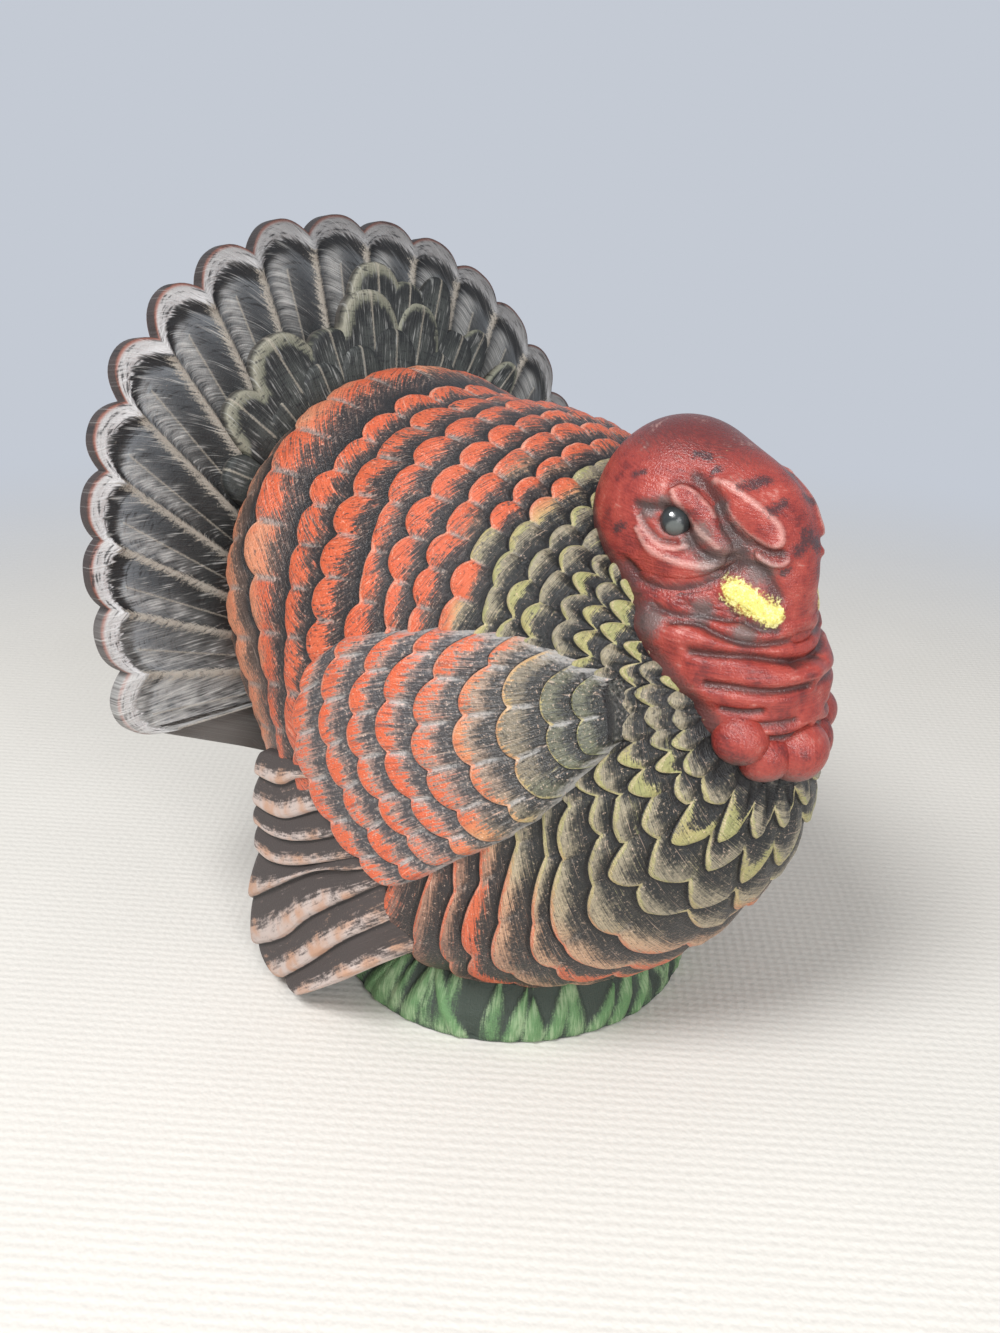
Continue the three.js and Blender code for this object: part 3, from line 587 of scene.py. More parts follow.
wing = {
    "top": [(-5.6, 123.3), (2.7, 130.7), (17.1, 135.1), (27.8, 137.7), (36.9, 138.5), (46.8, 138.4),
            (53.3, 136.6), (60.2, 134.3), (65.4, 132.4), (69.4, 131)],
    "fullest": [(-11.9, 100), (0.5, 106.1), (11, 111), (20.5, 113.8), (31.5, 110.4), (43, 112.3),
                (52.4, 119), (61, 124), (67.8, 124.4), (74, 122.8)],
    "low": [(26.1, 61.8), (32.9, 66.5), (40.3, 73), (47.8, 78.8), (54.4, 84.2), (62.6, 92.8),
            (67.6, 99.8), (71.9, 108.6), (74.4, 112.6), (76, 116)],
    "lobe": 13.5,                   # width of one scallop
    "lap": 1.15,
    "rise": (4.7, 5.9),             # rear, front
    "relief": 1.7,
    "roll": (5, 3.2),               # rounding of the upper and the lower border
    "samples": 190,
    "steps": (0, 0.05, 0.13, 0.25, 0.4, 0.56, 0.72, 0.83, 0.91, 0.96, 0.985),
    "sunk": -2,
    "nose": ((1.5, 0), (1.1, 0.35), (0.5, 0.8)),    # ahead of the first row, and the share of its rise
    "hub": (25.0, 105.0),
    # Share of the way forward, and the warmth there
    "warmth": ([0, 0.35, 0.55, 0.7, 0.85, 1], [0.2, 0.2, 0.38, 0.58, 0.72, 0.84]),
}


def arcPoints(k, v):
    top, middle, low = (np.array(wing[key][k], float) for key in ("top", "fullest", "low"))
    first, second = np.linalg.norm(middle - top), np.linalg.norm(low - middle)
    m = np.clip(first / max(first + second, 1e-6), 0.2, 0.8)
    a = (v - m) * (v - 1) / m
    b = v * (1 - v) / (m * (1 - m))
    c = v * (v - m) / (1 - m)
    return a[:, None] * top + b[:, None] * middle + c[:, None] * low


def flankPoint(spot, side, rise):
    start = np.stack([spot[..., 0], np.zeros(spot.shape[:-1]), spot[..., 1]], -1)
    direction = np.broadcast_to(np.array([0, float(side), 0]), start.shape)
    return leave(bodyField, start, direction, 160, rise)


# An open grid closed behind by a fan of faces to one hub
def wingPart(rows, hub, side):
    grid = np.stack(rows.points)
    points = np.vstack([grid.reshape(-1, 3), hub[None]])
    high, wide = grid.shape[:2]
    index = np.arange(high * wide).reshape(high, wide)
    quads = np.stack([index[:-1, :-1], index[:-1, 1:], index[1:, 1:], index[1:, :-1]], -1)
    faces = quads.reshape(-1, 4).tolist()
    border = np.concatenate([index[:, 0], index[-1, 1:], index[-2:0:-1, -1], index[0, :0:-1]])
    faces += [[int(b), int(a), high * wide] for a, b in zip(border, np.roll(border, -1))]
    if side > 0:
        faces = [face[::-1] for face in faces]
    stacked = {key: np.stack(mask).reshape(high * wide, -1) for key, mask in rows.masks.items()}
    return points, faces, {key: np.vstack([mask, mask[-1:]]) for key, mask in stacked.items()}


def buildWing(side, label, material):
    s = wing
    v = np.linspace(0, 1, s["samples"])
    lines, runs, across, picks, edges = [], [], [], [], []
    count = len(s["top"])
    for k in range(count):
        line = arcPoints(k, v)
        along = lengths(line)
        lobes = max(1, round(along[-1] / s["lobe"]))
        place = along / max(along[-1], 1e-6) * lobes + (0.5 if k % 2 and lobes > 2 else 0)
        lines.append(line)
        runs.append(along)
        across.append(place % 1)
        picks.append(dice.uniform(-1, 1, lobes + 2)[np.floor(place).astype(int)])
    for k in range(count):
        ahead = lines[min(k + 1, count - 1)]
        back = lines[k] if k < count - 1 else lines[k] * 2 - lines[k - 1]
        lean = back - ahead
        lean = lean / np.maximum(np.linalg.norm(lean, axis=1, keepdims=True), 1e-6)
        shape = 1 - 2 * np.abs(2 * across[k] - 1) ** 2.4
        room = 0 if k == count - 1 else s["lap"] * np.clip(runs[k][-1] / 40, 0.3, 1)
        edges.append(lines[k] + lean * (shape * room)[:, None])
    rows = Rows(len(v), plumageMasks)
    flat = np.zeros((len(v), 3))
    nose = unit(edges[-1] - edges[-2])
    for ahead, share in s["nose"]:
        rise = np.full(len(v), s["sunk"] + (s["rise"][1] - s["relief"] - s["sunk"]) * share)
        rows.add(flankPoint(edges[-1] + nose * ahead, side, rise), 0.1, 0.2, 0.3, 0.3, 0, 0.8, flat)
    for k in range(count - 1, 0, -1):
        along, pick, u = runs[k - 1], picks[k - 1], across[k - 1]
        front, back = edges[k], edges[k - 1]
        gap = np.minimum(u, 1 - u)
        middle = 1 - (2 * u - 1) ** 2
        length = max(along[-1], 1e-6)
        fromEnds = [1 - np.clip(away / min(roll, length * 0.4), 0, 1)
                    for away, roll in zip((along, length - along), s["roll"])]
        border = np.sqrt(np.clip(1 - np.maximum(*fromEnds) ** 2, 0, 1))
        forward = (k - 1) / (count - 1)
        crown = s["rise"][0] + (s["rise"][1] - s["rise"][0]) * forward
        start = 0.2 + 0.42 * ease(0.4, 0.75, forward)
        pale = 1 - ease(0.45, 0.8, forward)
        warmth = np.interp(forward, *s["warmth"])
        warmth = warmth + 0.2 * ease(0.75, 1, along / length) * ease(0.1, 0.4, forward)
        for t in s["steps"]:
            crease = bell(gap * s["lobe"] / 1.1) * ease(0.1, 0.5, t)
            dome = 0.3 * middle * ease(0, 0.5, t) - 0.5 * crease
            level = crown - s["relief"] + featherLip(np.array(t), s["relief"])
            level = level + s["relief"] * dome * (1 - ease(0.9, 1.02, t))
            lit = ease(start, start + 0.55, t) * (0.8 + 0.12 * pick) * (1 - 0.4 * crease)
            lit = lit * (0.86 + 0.14 * middle)
            haze = ease(0.15, 0.7, t) * 0.9 - 0.2 * crease
            wash = (1 - ease(0.1, 0.65, t)) * (0.1 + 0.2 * pale) + 0.8 * crease + 1.2 * (1 - border)
            dark = (1 - ease(0, 0.12, t)) * (1 - 0.5 * crease) * border
            grain = np.stack([along, t * 11 + k * 30 + np.zeros(len(v)), u], -1)
            rows.add(flankPoint(front + (back - front) * t, side, s["sunk"] + (level - s["sunk"]) * border),
                     lit, haze, wash, dark, ease(0.8, 0.92, t) * border, warmth, grain)
    outer = edges[0] + (edges[0] - edges[1]) * 0.02
    rows.add(flankPoint(outer, side, np.full(len(v), float(s["sunk"]))), 0.2, 0, 0, 1, 0, 0.2, flat)
    hub = flankPoint(np.array([s["hub"]]), side, -9)[0]
    part = wingPart(rows, hub, side)
    addPiece(f"wing_{label}_feathers", [part], material, f"wing_{label}")


wingPaint = plumageMaterial("wing_paint", wingPlumage)
for side, label in ((-1, "right"), (1, "left")):
    buildWing(side, label, wingPaint)


# Drooped primaries: long ridged feathers fanned down and back from one root

primaries = {
    # Side view of the ridges, from the tips inward: the lower edge of each feather, upper edge first
    "ridges": [[(-42, 79), (-34, 83), (-18, 86), (0, 90)],
               [(-44.5, 70), (-28.2, 73.5), (-14.7, 81.6), (4, 88)],
               [(-47.4, 58), (-27, 62.4), (-8.2, 73.1), (8, 82)],
               [(-46.6, 52), (-31.6, 53.9), (-13, 61), (12, 75)],
               [(-46, 43), (-33.4, 44), (-15.4, 51.5), (15, 68.6)],
               [(-52.5, 20.2), (-33, 35), (-8, 53), (17, 65)],
               [(-47.5, 5.4), (-26.5, 20), (-9.9, 36.4), (20.6, 61)],
               [(-27, 4.6), (-11, 19), (7, 36.5), (26, 52)],
               [(-13, 6), (1, 17), (14, 28), (30, 40)]],
    "root": 54.1,
    "outside": 79,
    "flare": 3,
    "tuck": 0.24,
    "step": 2.8,
    "stepShare": 0.34,              # of the width between two ridges
    "tipRound": 2.6,
    "thickness": 20,
    "samplesAcross": 26,
    "front": (1, 0.08, 60),         # shares of the way along a ridge, and how many
    "tip": (0.055, 0.035, 0.02, 0.009, 0, 0, 0, 0),
    "rootSunk": (12, 4),
    "tipSunk": (0.2, 0.5, 1.1, 2, 3.6, 6, 9),
    "tipBehind": (17, 14, 11, 9),
    "edge": (5, 2.4, 0.8),          # rounding of the outermost samples
    "dive": (30, 8),                # goes under the breast feathers between these places
    "diveAbove": 26,
    "grain": (0.45, 60),            # from one sample across to the next, and along a ridge
    "brushed": (196, 180, 173),
    "brushedWarm": (190, 150, 126),
    "ground": (70, 62, 60),
    "shadow": (36, 32, 31),
    "streak": ((0.8, 9, 1), 2, 0),
    "barbs": ((1.8, 3, 1), 3, 6),
    "cloud": (8, 2, 5),
    "speck": (0.6, 2, 9),
}


def primariesMaterial(name, s):
    n = newPaint(name, 0.66)
    streak, barbs = n.along(s, "streak", "barbs")
    cloud, speck = n.through(s, "cloud", "speck")
    tone = n.mix(n.between(cloud, -0.6, 0.9), s["brushed"], s["brushedWarm"])
    level = n.total(n.mask("lit"), (streak, 0.24), (barbs, 0.24), (cloud, 0.14), (speck, 0.14))
    colour = n.coats(s["ground"], (level, 0.25, 0.95, 1, tone), (n.mask("dark"), 0.2, 1, 0.85, s["shadow"]))
    return n.finish(colour, n.total((streak, 0.7), (speck, 0.3)), 0.4, 0.3)


def primaryFlank(x, z):
    s = primaries
    behind = np.maximum(0, bodyCentre[0] - x) / bodyHalf[0]
    under = np.maximum(0, s["root"] - z) / s["root"]
    return s["outside"] + s["flare"] * under - bodyHalf[1] * s["tuck"] * behind ** 2


def ridgePoints(points, t):
    line = curved(np.array(points, float), 12)
    run = lengths(line)
    return np.stack([np.interp(t * run[-1], run, line[:, i]) for i in (0, 1)], -1)


def buildPrimaries(side, label, material):
    s = primaries
    front = np.r_[np.linspace(*s["front"]), s["tip"]]
    plain = len(front) - len(s["rootSunk"] + s["tipSunk"])
    sunk = np.r_[s["rootSunk"], np.zeros(plain), s["tipSunk"]]
    behind = np.full(len(front), float(s["thickness"]))
    behind[0], behind[-len(s["tipBehind"]):] = s["rootSunk"][0], s["tipBehind"]
    ridges = np.stack([ridgePoints(points, front) for points in s["ridges"]], 1)
    across = (np.arange(s["samplesAcross"]) + 0.5) / s["samplesAcross"]
    spots, feathers = [], len(s["ridges"]) - 1
    for i in range(feathers):
        spots.append(ridges[:, i, None] * (1 - across[:, None]) + ridges[:, i + 1, None] * across[:, None])
    spot, share = np.concatenate(spots, 1), np.tile(across, feathers)
    pick = np.array([dice.uniform(-1, 1) for _ in range(feathers)]).repeat(len(across))
    gaps = np.linalg.norm(np.diff(ridges, axis=1), axis=-1).repeat(len(across), axis=1)
    outward = unit(spot[-12] - spot[20])    # the way that the ridges point
    near = (1 - ease(0, 0.3, front))[:, None]
    spot = spot + (s["tipRound"] * near * np.sin(math.pi * share) ** 0.7)[..., None] * outward
    nose = np.sqrt(np.clip(1 - (np.clip(share - 0.78, 0, 1) / 0.23) ** 2, 0, 1))
    shape = (0.08 + 0.92 * share ** 0.85) * nose
    step = np.minimum(s["step"], gaps * s["stepShare"]) * (1 - shape) * (sunk < 3)[:, None]
    edge = np.r_[s["edge"], np.zeros(len(share) - 6), s["edge"][::-1]]
    x, z = spot[..., 0], spot[..., 1]
    flank = primaryFlank(x, z)
    out = flank - step - sunk[:, None] - edge
    base = np.abs(flankPoint(np.stack([x, np.maximum(z, s["diveAbove"])], -1), 1, -2)[..., 1])
    under = ease(s["dive"][1], s["dive"][0], x)
    out = out * (1 - under) + np.minimum(out, base) * under
    back = np.minimum(flank - behind[:, None], out - 0.5)
    outer = np.stack([x, side * out, z], -1)
    inner = np.stack([x, side * back, z], -1)[:, ::-1]
    rows = np.concatenate([outer, inner], 1)
    lit = ease(0.3, 0.85, share) * (1 - 0.5 * ease(0.5, 1, front))[:, None] + 0.15 * pick
    dark = np.maximum(1 - ease(0, 0.2, share), ease(2, 6, sunk)[:, None])
    sideways = np.arange(len(share)) * s["grain"][0]
    grain = np.stack([sideways + 0 * x, front[:, None] * s["grain"][1] + 0 * x, 0 * x], -1)
    masks = {"lit": np.concatenate([lit, 0 * x], 1), "dark": np.concatenate([dark, 0 * x + 1], 1),
             "grain": np.concatenate([grain, grain], 1)}
    part = gridPart(rows, masks, rows[0].mean(0), rows[-1].mean(0))
    addPiece(f"primaries_{label}_feathers", [part], material, f"primaries_{label}")


primariesPaint = primariesMaterial("primaries_paint", primaries)
for side, label in ((-1, "right"), (1, "left")):
    buildPrimaries(side, label, primariesPaint)


# Tail fan, in its own frame: x ahead of the front face, y to the left, z up along it

fan = {
    "place": (-83.08, 0, 124.86),
    "lean": 9.2,
    "radius": 111,
    "side": 108,
    "rim": 6,
    "hubThickness": 29,
    "hubShare": -0.42,
    "notch": 6.5,
    "rib": 1.6,
    "ribWidth": 1.8,
    "quill": 0.7,
    "quillWidth": 0.7,
    # Each feather from the bird's right to its left: middle of the tip in degrees, reach added
    "feathers": [(110.5, 2), (98.6, -2), (86.6, -2.6), (75.2, -2), (63.5, 0), (51, 1.5), (38.6, 1.2),
                 (26.2, 0), (13.6, 0), (0.6, -1.6), (-11.8, -2.2), (-23.4, -2.2), (-35.8, -2.5),
                 (-48.2, -2.8), (-60, -1), (-72, 0), (-84.5, 0), (-97, 0), (-109.8, 0)],
    "ends": (7, -6.4),              # degrees past the middle of the first and the last tip
    "edge": [(-0.89, -0.41), (-0.565, -0.55), (-0.25, -0.7), (0, -0.74), (0.25, -0.7), (0.565, -0.55),
             (0.89, -0.41)],
    "samples": 18,
    "edgeSamples": 50,
    "bandWidth": 7.5,
    # Shares of the way out and places behind the front face, round the rim
    "rimSteps": [(0.993, 0.05), (0.998, 0.3), (1, 0.8), (1, 3), (1, 5.2), (0.997, 6)],
    "vane": [(0, (64, 54, 52)), (0.006, (140, 80, 62)), (0.014, (172, 170, 170)), (0.056, (206, 206, 208)),
             (0.068, (24, 24, 25)), (0.1, (22, 22, 23)), (0.122, (106, 111, 116)), (0.19, (70, 74, 78)),
             (0.34, (40, 42, 43)), (0.6, (40, 41, 40)), (1, (46, 44, 41))],
    "ribColour": (170, 163, 152),
    "quillColour": (180, 172, 158),
    "paleColour": (192, 192, 190),
    "dark": (26, 27, 29),
    "behind": (112, 106, 101),
    "streak": ((0.6, 11, 1), 3, 0),
    "wide": ((2.6, 7, 1), 2, 4),
    "bars": ((5, 1.1, 1), 2, 8),
    "speck": (0.6, 2, 2),
}
vaneMasks = ("tip", "rib", "quill", "pale", "dim", "hidden", "grain")


def vaneMaterial(name, s, stops):
    n = newPaint(name, 0.6)
    streak, wide, bars = n.along(s, "streak", "wide", "bars")
    speck, tip, dim = n.solid(*s["speck"]), n.mask("tip"), n.mask("dim")
    jag = n.total((streak, 0.012), (wide, 0.012))
    level = n.total((streak, 0.5), (wide, 0.35))
    colour = n.coats(
        n.ramp(n.sum(tip, n.times(jag, n.between(tip, 0.01, 0.06))), stops),
        (dim, None, None, 0.55, s["dark"]),
        (level, 0.15, 0.8, n.sum(0.68, n.times(dim, -0.4)), s["paleColour"]),
        (n.total((bars, -1), (level, -1)), 0.1, 1.2, 0.85, s["dark"]),
        (level, -0.9, 0.7, n.mask("pale"), s["paleColour"]),
        (n.total(n.mask("rib"), (speck, 0.22), (streak, 0.22), (bars, 0.22)), 0.3, 1, 0.85, s["ribColour"]),
        (n.total(n.mask("quill"), (speck, 0.15)), 0.45, 1, 0.5, s["quillColour"]),
        (n.mask("hidden"), None, None, 1, s["behind"]))
    return n.finish(colour, n.total(streak, (speck, 0.4)), 0.4, 0.3)


def fanPlace(local):
    lean = math.radians(fan["lean"])
    x = local[..., 0] * math.cos(lean) - local[..., 2] * math.sin(lean)
    z = local[..., 0] * math.sin(lean) + local[..., 2] * math.cos(lean)
    return np.stack([x, local[..., 1], z], -1) + np.array(fan["place"], float)


def fanOutline():
    s = fan
    middles = np.array([a for a, _ in s["feathers"]])
    bounds = np.r_[middles[0] + s["ends"][0], (middles[1:] + middles[:-1]) / 2, middles[-1] + s["ends"][1]]
    y, z, across = [], [], []
    a = np.arange(s["samples"]) / s["samples"]
    bulge = np.abs(2 * a - 1)
    for start, end, (_, extra) in zip(bounds, bounds[1:], s["feathers"]):
        angle = np.radians(start + (end - start) * a)
        reach = extra * (1 - bulge ** 2) - s["notch"] * bulge ** 2.3
        y.append(-(s["side"] + reach) * np.sin(angle))
        z.append((s["radius"] + reach) * np.cos(angle))
        across.append(a)
    last, first = ([y[i][i] / s["side"], z[i][i] / s["radius"]] for i in (-1, 0))
    path = np.array([last, *s["edge"][::-1], first])
    knots = np.linspace(0, 1, len(path))
    t = np.linspace(0, 1, s["edgeSamples"])[1:-1]
    y.append(np.interp(t, knots, path[:, 0]) * s["side"])
    z.append(np.interp(t, knots, path[:, 1]) * s["radius"])
    across.append(np.full(len(t), 0.25))
    return tuple(np.concatenate(part) for part in (y, z, across))


def buildFan():
    s = fan
    y, z, across = fanOutline()
    hub, feathers, samples = s["hubShare"] * s["radius"], len(s["feathers"]), s["samples"]
    fromHub = z - hub
    reach = np.hypot(y, fromHub)
    feather = np.arange(len(y)) // samples
    tipped = (feather < feathers).astype(float)
    gap = np.minimum(across, 1 - across)
    corner = np.minimum(np.arange(feathers + 1) * samples, len(y) - 1)
    chords = np.hypot(np.diff(y[corner]), np.diff(z[corner]))
    chord = np.r_[chords.repeat(samples), np.full(len(y) - samples * feathers, 20)]
    pale = np.where(feather == 0, 0.8, 0) + np.where(feather == 1, 0.25, 0) + 0.5 * (1 - tipped)
    dim = ease(5, 9, feather) * tipped
    rows = Rows(len(y), vaneMasks)

    def addRow(share, x, front):
        wide = chord * share
        rib = bell(gap * wide / s["ribWidth"]) * tipped
        quill = bell((across - 0.5) * wide / s["quillWidth"]) * tipped * (share < 0.9)
        far = reach * (1 - share)
        band = s["bandWidth"] * (0.86 + 0.2 * np.cos(2 * math.pi * across))
        swell = 0.55 * (1 - ease(band - 1.2, band + 1.2, far))
        swell = swell - 0.5 * np.sin(math.pi * across) * ease(8, 20, far)
        ribbed = ease(0, 5, far) * (1 - 0.4 * ease(60, 140, far))
        lift = (s["rib"] * rib * ribbed + s["quill"] * quill * ribbed + swell * tipped) * front
        patch = bell((across - 0.34) / 0.2) * ease(9, 13, far) * (1 - ease(22, 48, far)) * tipped
        rows.add(fanPlace(np.stack([x + lift, y * share, hub + fromHub * share], -1)),
                 np.where(tipped > 0, far / 100, 0.4 + far / 400), rib * ease(3, 8, far), quill * 0.9,
                 np.maximum(pale, 0.75 * patch), dim,
                 (1 - tipped) * 0.6 if front > 0 else 0.25 + 0.4 * (1 - tipped),
                 np.stack([(across + feather) * wide, far, np.zeros(len(y))], -1))

    for share in np.r_[np.linspace(0.06, 0.8, 50), np.linspace(0.81, 0.985, 40)]:
        addRow(share, 0, 1)
    for share, x in s["rimSteps"]:
        addRow(share, -x, 0.3)
    for share in np.linspace(0.985, 0.08, 34):
        addRow(share, -s["rim"] - (s["hubThickness"] - s["rim"]) * (1 - share), -0.8)
    poles = fanPlace(np.array([[0, 0, hub], [-s["hubThickness"], 0, hub]], float))
    part = gridPart(rows.points, rows.masks, *poles)
    material = vaneMaterial("fan_paint", s, s["vane"])
    addPiece("tail_fan_feathers", [part], material, "tail_fan")


buildFan()


# Tail coverts: short lapping feathers on the front of the fan. Each is the middle of its tip in
# degrees, its reach, its width in degrees, the height of its tip and how pale its rim is.

coverts = {
    "petals": [(60, 64, 16, 3, 0), (43.5, 74, 16, 3.2, 1), (26, 79.5, 20, 3.4, 1), (9.5, 74, 16, 5, 0.5),
               (-4.5, 85.3, 17, 4.6, 1), (-7.5, 94.5, 15, 2.6, 1), (-16.5, 90, 12, 3.2, 0.6),
               (-20.5, 84, 14, 5, 0.8), (-25, 96, 10, 2.4, 0.3), (-35, 82, 15, 4, 0.4),
               (-41, 89, 9, 2.8, 0.6), (-53.5, 91, 8, 2.6, 0.8), (-52, 74, 17, 4, 0.2),
               (17, 65, 17, 6.6, 0), (-12, 73, 17, 6.6, 0.3), (34, 62, 18, 5.4, 0), (-30, 71, 17, 6, 0),
               (1, 67, 16, 7.2, 0)],
    "root": 34,
    "rise": 9,
    "quill": 0.35,
    "samples": 72,
    "middleShare": 0.72,
    # Shares of the way out, and of the height there
    "rings": ((0.12, 1), (0.3, 1), (0.48, 1), (0.62, 1), (0.74, 1), (0.83, 1), (0.9, 0.99), (0.95, 0.95),
              (0.98, 0.85), (1, 0.6), (1, 0)),
    "under": 1.5,
    "vane": [(0, (70, 68, 62)), (0.008, (158, 155, 138)), (0.034, (134, 135, 118)), (0.048, (42, 44, 42)),
             (0.06, (24, 26, 25)), (0.09, (46, 49, 47)), (0.14, (70, 74, 71)), (0.24, (50, 54, 51)),
             (0.4, (36, 40, 38)), (1, (31, 34, 32))],
}


def petalPart(middle, reach, width, height, pale):
    s = coverts
    turn = np.linspace(0, 2 * math.pi, s["samples"], endpoint=False)
    outward, sideways, flat = np.cos(turn), np.sin(turn), np.zeros(s["samples"])
    centre = reach * s["middleShare"]
    wide = reach * math.radians(width) / 2
    ahead = outward > 0
    stretch = np.where(ahead, reach - centre, centre - s["root"])
    radial = centre + stretch * np.sign(outward) * np.abs(outward) ** np.where(ahead, 0.72, 1)
    tangent = wide * np.sign(sideways) * np.abs(sideways) ** np.where(ahead, 0.8, 0.6)
    bend = math.radians(middle)
    spread = 0.09 * np.maximum(ease(0.4, -0.15, outward), 1 - pale)
    rows = Rows(s["samples"], vaneMasks)
    for share, up in s["rings"]:
        along, over = centre + (radial - centre) * share, tangent * share
        slope = np.clip((reach - along) / (reach - s["root"]), 0, 1)
        x = (height + (s["rise"] - height) * slope ** 1.1) * up - s["under"] * (1 - up)
        x = x - 0.5 * (over / wide) ** 2 + s["quill"] * bell(over / 0.8) * up
        turned = np.stack([x, -over * math.cos(bend) - along * math.sin(bend),
                           -over * math.sin(bend) + along * math.cos(bend)], -1)
        inset = np.hypot(radial - centre, tangent) * (1 - share)
        rows.add(fanPlace(turned), inset / 100 + spread, flat, bell(over / 0.7), flat, flat + 0.5,
                 flat + (0.9 if up == 0 else 0), np.stack([over + middle * 3, along, flat], -1))
    tall = height + (s["rise"] - height) * ((reach - centre) / (reach - s["root"])) ** 1.1 + s["quill"]
    hub = np.array([tall, -centre * math.sin(bend), centre * math.cos(bend)])
    below = hub * (0, 1, 1) - (s["under"], 0, 0)
    return gridPart(rows.points, rows.masks, *fanPlace(np.stack([hub, below])))


addPiece("tail_covert_feathers", [petalPart(*petal) for petal in coverts["petals"]],
         vaneMaterial("covert_paint", fan, coverts["vane"]), "tail_coverts")


# Head, snood and neck. The folds are drawn on an enlarged part of the photograph. The zoom is the
# corner of that part in the picture and how much larger it was.

head = {
    "place": (58.04, 0, 163.5),
    "skull": (26, 24, 29),
    "zoom": (570, 400, 3.73),
    # Folds: points on the enlarged picture, width and height in millimetres, sunk where negative
    "folds": [
        ([(322, 448), (336, 412), (372, 398), (404, 416), (420, 450)], 0.8, -0.6),
        ([(322, 448), (345, 486), (380, 498), (410, 482), (420, 450)], 0.8, -0.6),
        ([(387, 343), (420, 324), (464, 346), (509, 391), (538, 435)], 1, 0.5),
        ([(387, 343), (413, 405), (464, 472), (509, 516), (545, 545)], 1.1, 0.6),
        ([(254, 435), (287, 494), (332, 538), (383, 553), (435, 545)], 1, 0.6),
        ([(254, 479), (287, 538), (346, 575), (420, 604), (494, 612), (568, 601)], 1.3, 0.7),
        ([(538, 302), (597, 332), (671, 383), (737, 435), (778, 479), (781, 531), (759, 545)], 1.2, 0.6),
        ([(586, 398), (627, 464), (671, 505), (730, 538), (759, 545)], 1, 0.5),
        ([(700, 575), (745, 604), (789, 608), (807, 590)], 0.9, 0.5),
        ([(472, 280), (523, 332), (560, 391), (582, 472), (627, 538), (656, 575)], 2.2, -1.6),
        ([(420, 442), (450, 523), (494, 575), (553, 597), (612, 590)], 1.7, -1.5),
        ([(376, 317), (420, 302), (479, 324), (531, 376)], 1.3, -0.8),
        ([(604, 472), (663, 523), (730, 560), (789, 571)], 1.5, -1.4),
        ([(254, 387), (295, 394), (346, 394), (405, 416), (442, 472)], 1.5, -1.3),
        ([(254, 420), (287, 479), (332, 523), (391, 534)], 1, -0.9),
        ([(206, 612), (272, 678), (376, 700), (494, 686), (575, 649), (627, 627)], 1.9, -1.6),
        ([(575, 656), (627, 619), (686, 619), (737, 663), (781, 745)], 1.9, -1.2),
        ([(568, 745), (627, 796), (700, 848), (774, 859)], 1.4, -1.2),
        ([(405, 745), (479, 774), (553, 767)], 1, -0.8),
        ([(372, 822), (470, 830), (545, 872), (640, 905), (760, 905), (900, 870)], 1.3, -1.7),
        ([(445, 935), (560, 950), (700, 960), (820, 975), (935, 955)], 1.3, -1.8),
        ([(510, 1060), (600, 1070), (700, 1085), (790, 1085), (890, 1065)], 1.3, -1.7),
        ([(565, 1155), (640, 1168), (715, 1163)], 1.1, -1.3),
        ([(600, 1212), (720, 1215), (840, 1195)], 1.1, -1),
        ([(590, 1232), (700, 1262), (800, 1262), (885, 1225)], 1.2, -1.3),
        ([(300, 760), (380, 790), (480, 795), (600, 815), (650, 800)], 1.2, -1.2),
    ],
    # Fleshy pads without an edge of their own
    "pads": [
        ([(413, 376), (464, 413), (523, 472), (568, 531)], 3.4, 1.7),
        ([(590, 339), (649, 391), (715, 450), (759, 516)], 3.8, 1.7),
        ([(708, 590), (759, 599), (804, 590)], 2.2, 1),
        ([(309, 582), (398, 627), (494, 630), (568, 608)], 2.8, 0.9),
        ([(258, 376), (309, 376), (376, 391)], 2, 0.8),
        ([(361, 442), (376, 453)], 5, -1.3),
        ([(400, 880), (500, 900), (640, 945)], 3, 1),
        ([(480, 1000), (600, 1010), (760, 1030), (900, 1010)], 3.4, 1.1),
        ([(540, 1110), (660, 1125), (820, 1135)], 3, 0.9),
    ],
    # Dark blotches: line on the enlarged picture and half width in millimetres
    "blotches": [([(470, 200), (520, 214)], 1.7), ([(535, 268), (562, 256)], 1.4),
                 ([(655, 330), (725, 300)], 2.4), ([(750, 420), (800, 385)], 2),
                 ([(855, 560), (900, 500)], 2.5), ([(795, 645), (811, 636)], 1.4),
                 ([(172, 480), (196, 466)], 1.7), ([(240, 276), (276, 268)], 1.3),
                 ([(180, 735), (204, 725)], 1.4)],
    # Greyed places: on the photograph, and the size in millimetres
    "dusks": [((735, 556), 6.5), ((712, 560), 5), ((760, 570), 5), ((672, 522), 5), ((700, 535), 4),
              ((722, 508), 2.6), ((730, 530), 3), ((768, 618), 4), ((700, 610), 4), ((745, 632), 4),
              ((646, 509), 3), ((690, 541), 3.2), ((664, 503), 2.8), ((650, 620), 5)],
    # Yellow brush stroke over the beak: on the photograph
    "stroke": {"ends": [(735, 591), (752, 601), (771, 614)], "width": 3.8, "proud": 1.2},
    "blend": 5,
    "sink": 0.7,
    "grainSpan": 24,
    "yellow": (212, 202, 104),
    "yellowPale": (228, 222, 156),
    "red": (134, 47, 42),
    "bright": (164, 68, 57),
    "maroon": (72, 33, 34),
    "blot": (48, 38, 42),
    # Pink dry brush on the raised folds, partly painted highlight and sheen
    "drybrush_and_highlight": (228, 186, 176),
    # Painted shade in the sunk folds, where the skin meets the body and behind the lobes
    "crease": (58, 44, 43),
    "grey": (100, 90, 87),
    "streak": ((5, 0.6, 1), 3, 0),
    "cloud": (7, 3, 2),
    "mottle": (1.6, 2, 9),
    "speck": (0.6, 2, 5),
}
headPlace = np.array(head["place"], float)
skull = np.array(head["skull"], float)


def onSkull(x, y, z):
    return headPlace + skull * (x, y, z)


